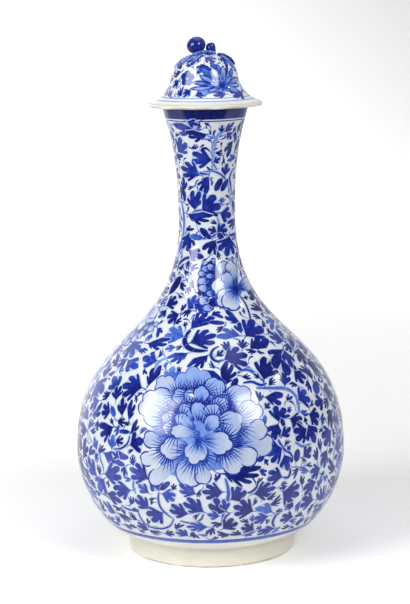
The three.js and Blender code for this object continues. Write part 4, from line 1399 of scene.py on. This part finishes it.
# The bell of the cover with its brim: one throwing, hollow from below, painted with a peony, small
# flowers and leaf sprays over two thin lines; the brim's edge is left in the ivory glaze.
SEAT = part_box("cover_dome")[0][2] / MM
DOME_TOP = SEAT + 40
BRIM_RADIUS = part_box("cover_dome")[1][0] / MM
BRIM_TOP = SEAT + 3.4
SPRING = (26.0, SEAT + 21.7)
BRIM_EDGE = 0.8
BRIM_IVORY_TOP = 351.6
BRIM_LINES = [(352.1, 352.6, (0.36, 0.42)), (354.1, 354.7, (0.4, 0.45))]
BELL_PAINTING_START = 354.9
COVER_BORE = 22.8
COVER_WALL = 3.3


def blend(a, b, share):
    """A value on the way from a to b."""
    return a + (b - a) * share


ogee = bezier(
    (BRIM_RADIUS, BRIM_TOP),
    (blend(SPRING[0], BRIM_RADIUS, 0.56), BRIM_TOP + 1.6),
    (SPRING[0] + 1.9, blend(BRIM_TOP, SPRING[1], 0.42)),
    SPRING,
    300,
)
dome = bezier(
    SPRING,
    (SPRING[0] * 0.92, blend(SPRING[1], DOME_TOP, 0.63)),
    (SPRING[0] * 0.7, DOME_TOP),
    (0, DOME_TOP),
    300,
)
cover_line = np.vstack([ogee[9:], dome[1:]])
bell = Outline(cover_line[cover_line[:, 0] > 1.3])
bell_painting = Painting(bell, 0.0, float(bell.rise[-1]))
bell_painting.cover(band_between(bell_painting, BRIM_TOP - 1, BELL_PAINTING_START))
for row in BRIM_LINES:
    banding(bell_painting, *row)
OPEN_PEONY = [
    (-4, 6, -16, 19, 5, 0, 0.72, 0), (-2, 9, -6, 21, 5, 0, 0.55, 0), (4, 5, 10, 18, 3, 0, 0.8, 0),
    (1, 7, -2, 18, 4, 0, 0.42, 0), (-3, 4, -17, 14, 5, 0, 0.45, 0), (7, 4, 16, 13, 4, 0, 0.38, 0),
    (1, 2, 5, 16, 5, 0, 0.22, 0), (-2, 1, -18, 7, 4, 0, 0.27, 0), (-5, 0, -24, 3, 3, 0, 0.34, 0),
    (-3, -1, -24, -4, 3, 0, 0.2, 0), (2, 0, 21, -2, 3, 0, 0.18, 0), (2, 1, 23, 3, 4, 0, 0.27, 0),
    (1, 0, 11, 6, 4, 0, 0.32, 0), (1, -2, 6, -5, 3, 0, 0.24, 0), (-2, -2, -11, -5, 3, 0, 0.22, 0),
    (0, 2, -8, 15, 5, 0, 0.1, 0), (-2, 1, -8, 5, 2, 0, 0.16, 0),
]
COVER_LEAVES = [
    ("H4", -18.2, 384.4, -30.8, 378.1, 0.72, 0.95), ("H3", -88, 383.9, -49.5, 375, 0.5, 0.85),
    ("H3", -47.2, 367.6, -60.3, 361.5, 0.58, 0.88), ("H4", -20.8, 360.6, -33.5, 356.2, 0.72, 0.92),
    ("H4", -13.2, 356.3, 1.8, 359, 0.72, 0.92), ("H4", 30.2, 357.1, 10, 357.5, 0.58, 0.92),
    ("H4", 64.8, 357.5, 35.8, 356.3, 0.58, 0.92), ("H4", 2.5, 384.4, 24.8, 380, 0.72, 0.92),
    ("H3", 53, 383.9, 42.8, 377.5, 0.58, 0.9), ("H3", -64.8, 359.2, -68.2, 354.7, 0.5, 0.85),
    ("H3", -0.5, 379.5, -9.2, 371.5, 0.58, 0.7),
]
for row in COVER_LEAVES:
    place_leaf(bell_painting, *row)
for theta, height, turn, scale in ((27.8, 363.7, 0, 1.0), (-152, 364, 10, 0.95)):
    flower(bell_painting, theta, height, turn, scale, OPEN_PEONY, 1.4, 0.85, 0.5)
for theta, height in ((-30.5, 369.2), (96, 368), (150, 362), (-95, 371)):
    place = bell.spot(theta, height)
    radius = bell_painting.radius(place)
    for heading in (0.3, 1.6, 2.8, 4.1, 5.3):
        shape = turned(oval(6.2, 0.95), place, heading, radius)
        bell_painting.add(shape, place, shape[6], (1.0, 0.75))
    heart = turned(oval(2.4, 0.8), place - 1 / radius, 0.6, radius)
    bell_painting.add(heart, place, place + 1, (0.35, 0.35))
scroll(
    bell_painting,
    14,
    (9, 8, 7, 6, 5.1),
    [(300, (9.5, 8.5), 4), (300, (7, 6), 4), (160, (5.2, 4.4), 3)],
)
bell_cut = cut_skin(bell_painting, [], 2.2)
skin, (bottom, top) = painted_patch(
    bell_painting, bell_cut, 0.0, float(bell.rise[-1]), (0.08, 0.9), BRIM_IVORY_TOP
)
turn = np.linspace(0, math.pi / 2, 6)
round_edge = np.c_[
    BRIM_RADIUS - BRIM_EDGE + BRIM_EDGE * np.cos(turn), SEAT + BRIM_EDGE - BRIM_EDGE * np.sin(turn)
]
edge = np.vstack([[(BRIM_RADIUS, BRIM_TOP - BRIM_EDGE)], round_edge])
hollow = bezier(
    (COVER_BORE, SPRING[1] - COVER_WALL),
    (COVER_BORE * 0.92, blend(SPRING[1], DOME_TOP - COVER_WALL, 0.6)),
    (COVER_BORE * 0.62, DOME_TOP - COVER_WALL),
    (0, DOME_TOP - COVER_WALL),
    24,
)
BELL_AROUND = 96
piece(
    "painted_bell",
    [
        skin,
        between(bottom, ring_at(*edge[0], BELL_AROUND), (0, 0, 1), (0.07, 0.06), ivory=1.0),
        lathe(edge[::-1], 1, BELL_AROUND, (0.03, 0.06), ivory=1.0),
        lathe([(COVER_BORE, SEAT), edge[-1]], 1, BELL_AROUND, (0.02, 0.03), ivory=1.0),
        lathe([(COVER_BORE, SEAT), hollow[0]], -1, BELL_AROUND, (0.98, 0.96), ivory=1.0),
        lathe(hollow, -1, BELL_AROUND, (0.96, 0.93)),
        between(top, ring_at(0, DOME_TOP, BELL_AROUND), (0, 0, 1), (0.905, 0.92)),
    ],
    PORCELAIN,
    "cover",
    ["cover_dome"],
)

# The locating collar: a plain ring thrown with the cover's inside and left unglazed, so that it
# doesn't stick in the mouth; its lower edge is chamfered on both sides.
BARE = fired_body("bare_body", (0.74, 0.69, 0.58), (0.2, 0.1, 0.05), 0.65)
COLLAR_WALL = 2.9
CHAMFER = 0.8
collar_low, collar_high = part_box("cover_collar")
outer_radius, low = collar_high[0] / MM, collar_low[2] / MM
inner_radius = outer_radius - COLLAR_WALL
corners = [
    (outer_radius, low + CHAMFER),
    (outer_radius, SEAT),
    (inner_radius, SEAT),
    (inner_radius, low + CHAMFER),
    (inner_radius + CHAMFER, low),
    (outer_radius - CHAMFER, low),
]
bands = ((0.02, 0.4), (0.92, 0.98), (0.9, 0.6), (0.54, 0.57), (0.48, 0.52), (0.42, 0.46))
sides = zip(corners, corners[1:] + corners[:1], bands)
piece(
    "seating_collar",
    [lathe([start, end], 1, BELL_AROUND, band) for start, end, band in sides],
    BARE,
    "cover",
    ["cover_collar"],
)

# The fruit of the knob: a round fruit pressed in a mould, with a faint furrow, luted on top of the
# bell and washed over with deep cobalt; the brush left its top darkest.
def loft(rings, cobalt):
    """A closed skin through rings of places, drawn together at both ends. Facings are the cross
    product of the steps along and round it, turned away from the middle of each ring."""
    ends = [rings[i].mean(0, keepdims=True).repeat(rings.shape[1], 0)[None] for i in (0, -1)]
    rings = np.concatenate([ends[0], rings, ends[1]])
    cobalt = np.concatenate([cobalt[:1], cobalt, cobalt[-1:]])
    middle = rings.mean(1, keepdims=True)
    along = np.gradient(rings, axis=0)
    round_it = np.roll(rings, -1, 1) - np.roll(rings, 1, 1)
    facing = np.cross(along, round_it)
    facing *= np.sign((facing * (rings - middle)).sum(-1).sum(-1))[:, None, None]
    facing[0] = middle[0] - middle[2]
    facing[-1] = middle[-1] - middle[-3]
    rings, facing, cobalt = [
        np.concatenate([values, values[:, :1]], 1) for values in (rings, unit(facing), cobalt)
    ]
    count, columns = cobalt.shape
    u, v = np.meshgrid(np.linspace(0.01, 0.99, columns), np.linspace(0.01, 0.99, count))
    picture = np.c_[u.ravel(), v.ravel()]
    triangles = grid_triangles(count, columns)
    patch = Patch(rings.reshape(-1, 3), facing.reshape(-1, 3), triangles, picture)
    patch.cobalt = cobalt.ravel()[patch.triangles]
    return patch


def egg(centre, axis, line, cobalt, columns=64):
    """A (radius, height) line turned round an axis through a centre. Its cobalt, and the factor on its
    radius, come from a function of the angle and the share along the line."""
    turn = Vector((0, 0, 1)).rotation_difference(Vector(axis)).to_matrix()
    angle = np.linspace(0, 2 * math.pi, columns, endpoint=False)
    share = np.linspace(0, 1, len(line))
    grid_angle, grid_share = np.meshgrid(angle, share)
    tone, swell = cobalt(grid_angle, grid_share)
    radius, height = line[:, :1] * swell, np.broadcast_to(line[:, 1:], tone.shape)
    local = np.stack([radius * np.cos(grid_angle), radius * np.sin(grid_angle), height], -1)
    return loft((local @ np.array(turn).T + centre) * MM, tone)


FRUIT = np.array((-6.0, -0.5, DOME_TOP + 6))
FRUIT_RADIUS = 7.5
FRUIT_FLATTENING = 0.86
FRUIT_LEAN = 0.28
FRUIT_AXIS = (-math.sin(FRUIT_LEAN), 0, math.cos(FRUIT_LEAN))
turn = np.linspace(0.06, math.pi - 0.06, 48)
fruit_line = np.c_[FRUIT_RADIUS * np.sin(turn), -FRUIT_RADIUS * FRUIT_FLATTENING * np.cos(turn)]


def fruit_wash(angle, share):
    """Darkest on top, thinner in streaks down the sides, with a furrow on the viewer's side."""
    streak = 0.5 + 0.5 * np.sin(9 * angle + 2.5 * np.sin(3 * angle)) * np.sin(5 * share)
    furrow = 1 - 0.025 * np.exp(-(((angle - 1.2) / 0.12) ** 2)) * np.sin(np.pi * share)
    return 0.72 + 0.2 * share + 0.12 * streak, furrow


piece(
    "fruit",
    [egg(FRUIT, FRUIT_AXIS, fruit_line, fruit_wash)],
    PORCELAIN,
    "cover",
    ["finial_fruit"],
)

# The bud: a smaller egg-shaped fruit luted beside the first, its point towards the twig.
BUD = np.array((5.6, -0.6, DOME_TOP + 3.7))
BUD_LENGTH = 9.2
BUD_WIDTH = 7.79
BUD_TILT = 0.8
share = np.linspace(0.03, 0.97, 32)
bulge = np.sin(np.pi * share) ** 0.75 * (1 + 0.3 * np.cos(np.pi * share))
bud_line = np.c_[BUD_WIDTH / 2 * bulge, BUD_LENGTH * (share - 0.5)]


def bud_wash(angle, share):
    """Dark, with a few pale ribs that run from its foot to its point."""
    return 0.95 - 0.3 * np.exp(-((np.sin(2.5 * angle) / 0.25) ** 2)) * share, 1 + 0.02 * np.cos(5 * angle)


piece(
    "bud",
    [egg(BUD, (math.cos(BUD_TILT), 0, -math.sin(BUD_TILT)), bud_line, bud_wash, 48)],
    PORCELAIN,
    "cover",
    ["finial_bud"],
)

# The branch: a rolled strand of clay laid over the top of the bell under the fruit and the bud, with
# small knots, luted down and painted dark; painted shade darkens its underside and a painted highlight
# pales its top.
def on_bell(x, y, lift):
    """A place on the flat plan of the bell, measured along the skin from its top, lifted square to it."""
    x, y, lift = np.broadcast_arrays(x, y, lift)
    length = bell.length[-1] + bell.points[-1, 0] - np.hypot(x, y)
    radius, height = [np.interp(length, bell.length, bell.points[:, i]) for i in (0, 1)]
    out, up = [np.interp(length, bell.length, bell.normal[:, i]) for i in (0, 1)]
    near_top = length > bell.length[-1]
    radius = np.where(near_top, np.hypot(x, y), radius) + out * lift
    azimuth = np.arctan2(y, x)
    return np.stack([radius * np.cos(azimuth), radius * np.sin(azimuth), height + up * lift], -1)


def smooth(route, count):
    """A curve through route points: between two of them a cubic whose slopes come from the next ones."""
    route = np.array(route, float)
    padded = np.vstack([2 * route[0] - route[1], route, 2 * route[-1] - route[-2]])
    made = []
    for t in np.linspace(0, len(route) - 1, count):
        i = min(int(t), len(route) - 2)
        s = t - i
        a, b, c, d = padded[i : i + 4]
        made.append(b + 0.5 * s * (c - a + s * (2 * a - 5 * b + 4 * c - d + s * (3 * (b - c) + d - a))))
    return np.array(made)


def strand(route, radius, knots, tones):
    """A strand along a route on the plan, bedded in the skin, thicker at its knots; its cobalt runs
    from the first tone underneath, a painted shade, to the second on top, a painted highlight.
    """
    columns, count = 20, 70
    plan = smooth(route, count)
    centre = on_bell(plan[:, 0], plan[:, 1], 0.45 * radius)
    along = unit(np.gradient(centre, axis=0))
    up = on_bell(plan[:, 0], plan[:, 1], 1.5) - on_bell(plan[:, 0], plan[:, 1], 0.5)
    across = unit(np.cross(along, up))
    up = np.cross(across, along)
    t = np.linspace(0, 1, count)
    thick = radius * (0.5 + 0.5 * np.sin(np.pi * np.clip(t, 0.02, 0.98)) ** 0.4)
    for knot in knots:
        thick = thick * (1 + 0.28 * np.exp(-(((t - knot) / 0.035) ** 2)))
    angle = np.linspace(0, 2 * math.pi, columns, endpoint=False)
    rings = centre[:, None] + thick[:, None, None] * (
        np.cos(angle)[None, :, None] * across[:, None] + np.sin(angle)[None, :, None] * up[:, None]
    )
    # Painted light and shade: darker underneath, paler on top.
    tone = np.interp(np.sin(angle), [-1, 1], tones)[None] * np.ones((count, 1))
    return loft(rings * MM, tone + 0.1 * np.sin(40 * t)[:, None])


BRANCH = [(-8.6, -11.6), (-4.6, -8.6), (-0.4, -5.6), (4.2, -5.2), (8.6, -4.4)]
piece(
    "branch",
    [strand(BRANCH, 1.7, (0.2, 0.52, 0.8), (0.85, 0.4))],
    PORCELAIN,
    "cover",
    ["finial_branch"],
)

# The twig: a thinner strand that trails from the branch down the right shoulder of the bell; painted shade
# makes its underside darkest.
TWIG = [(10.3, -3.6), (15.4, -2), (20.6, -2.6), (25.6, -4.8)]
piece(
    "twig",
    [strand(TWIG, 1.25, (0.3, 0.66), (1, 0.85))],
    PORCELAIN,
    "cover",
    ["finial_twig"],
)

# The calyx: a small flared cup of thin clay that the fruit sits in, left pale with a few blue strokes
# from its foot to its notched rim.
CALYX_LENGTH = 3.4
CALYX_RADIUS = 5.0
low = -FRUIT_RADIUS * FRUIT_FLATTENING - CALYX_LENGTH * 0.35
calyx_line = smooth(
    [
        (0.4, low),
        (CALYX_RADIUS * 0.55, low),
        (CALYX_RADIUS * 0.8, low + CALYX_LENGTH * 0.3),
        (CALYX_RADIUS, low + CALYX_LENGTH),
        (CALYX_RADIUS * 0.9, low + CALYX_LENGTH * 1.08),
        (0.4, low + CALYX_LENGTH * 1.1),
    ],
    40,
)


def calyx_wash(angle, share):
    """Pale, with a stroke in each of its five lobes."""
    line = np.exp(-((np.sin(2.5 * angle) / 0.22) ** 2))
    return 0.08 + 0.65 * line * (share < 0.75), 1 + 0.09 * np.cos(5 * angle) * share


piece(
    "calyx",
    [egg(FRUIT, FRUIT_AXIS, calyx_line, calyx_wash, 60)],
    PORCELAIN,
    "cover",
    ["fruit_calyx"],
)

# Three moulded leaves: pressed from thin clay and laid on the bell in low relief, crowned along the
# midrib, with a pale blue wash, dark edges and dark veins.
# For each: where its foot is on the plan, its heading, length, width and bend.
LEAVES = {
    "leaf_left": (-8.4, -8.4, 3.75, 12.5, 5.2, 0.25),
    "leaf_front": (-3, -11.4, 4.25, 10, 4.6, -0.3),
    "leaf_right": (13.2, -6.2, -0.55, 14, 6.4, 0.2),
}
for name, (x, y, heading, length, width, bend) in LEAVES.items():
    t = np.linspace(0.01, 0.99, 48)[:, None]
    q = np.r_[np.linspace(-1, 1, 17), np.linspace(1, -1, 17)[1:-1]][None]
    on_top = (np.arange(q.shape[1]) < 17)[None]
    turn = heading + bend * (t - 0.5) * 2
    half = width / 2 * np.sin(np.pi * (0.06 + 0.9 * t**0.85)) ** 0.8 * (1 + 0.1 * np.cos(16 * np.pi * t))
    plan_x = x + length * t * np.cos((heading + turn) / 2) - q * half * np.sin(turn)
    plan_y = y + length * t * np.sin((heading + turn) / 2) + q * half * np.cos(turn)
    veins = np.exp(-((np.sin(np.pi * (8 * t - 1.6 * abs(q))) / 0.35) ** 2))
    rib = np.exp(-((q / 0.12) ** 2))
    crown = 1.3 * (0.3 + 0.7 * (1 - q * q)) - 0.22 * rib - 0.1 * veins * (1 - abs(q))
    lift = np.where(on_top, crown * np.sin(np.pi * np.clip(t, 0.03, 0.97)) ** 0.3, -0.3)
    tone = np.clip(0.3 + 0.6 * rib + 0.25 * veins + 0.6 * abs(q) ** 6, 0, 1) * np.ones_like(lift)
    piece(
        name + "_relief",
        [loft(on_bell(plan_x, plan_y, lift) * MM, tone)],
        PORCELAIN,
        "cover",
        [name],
    )
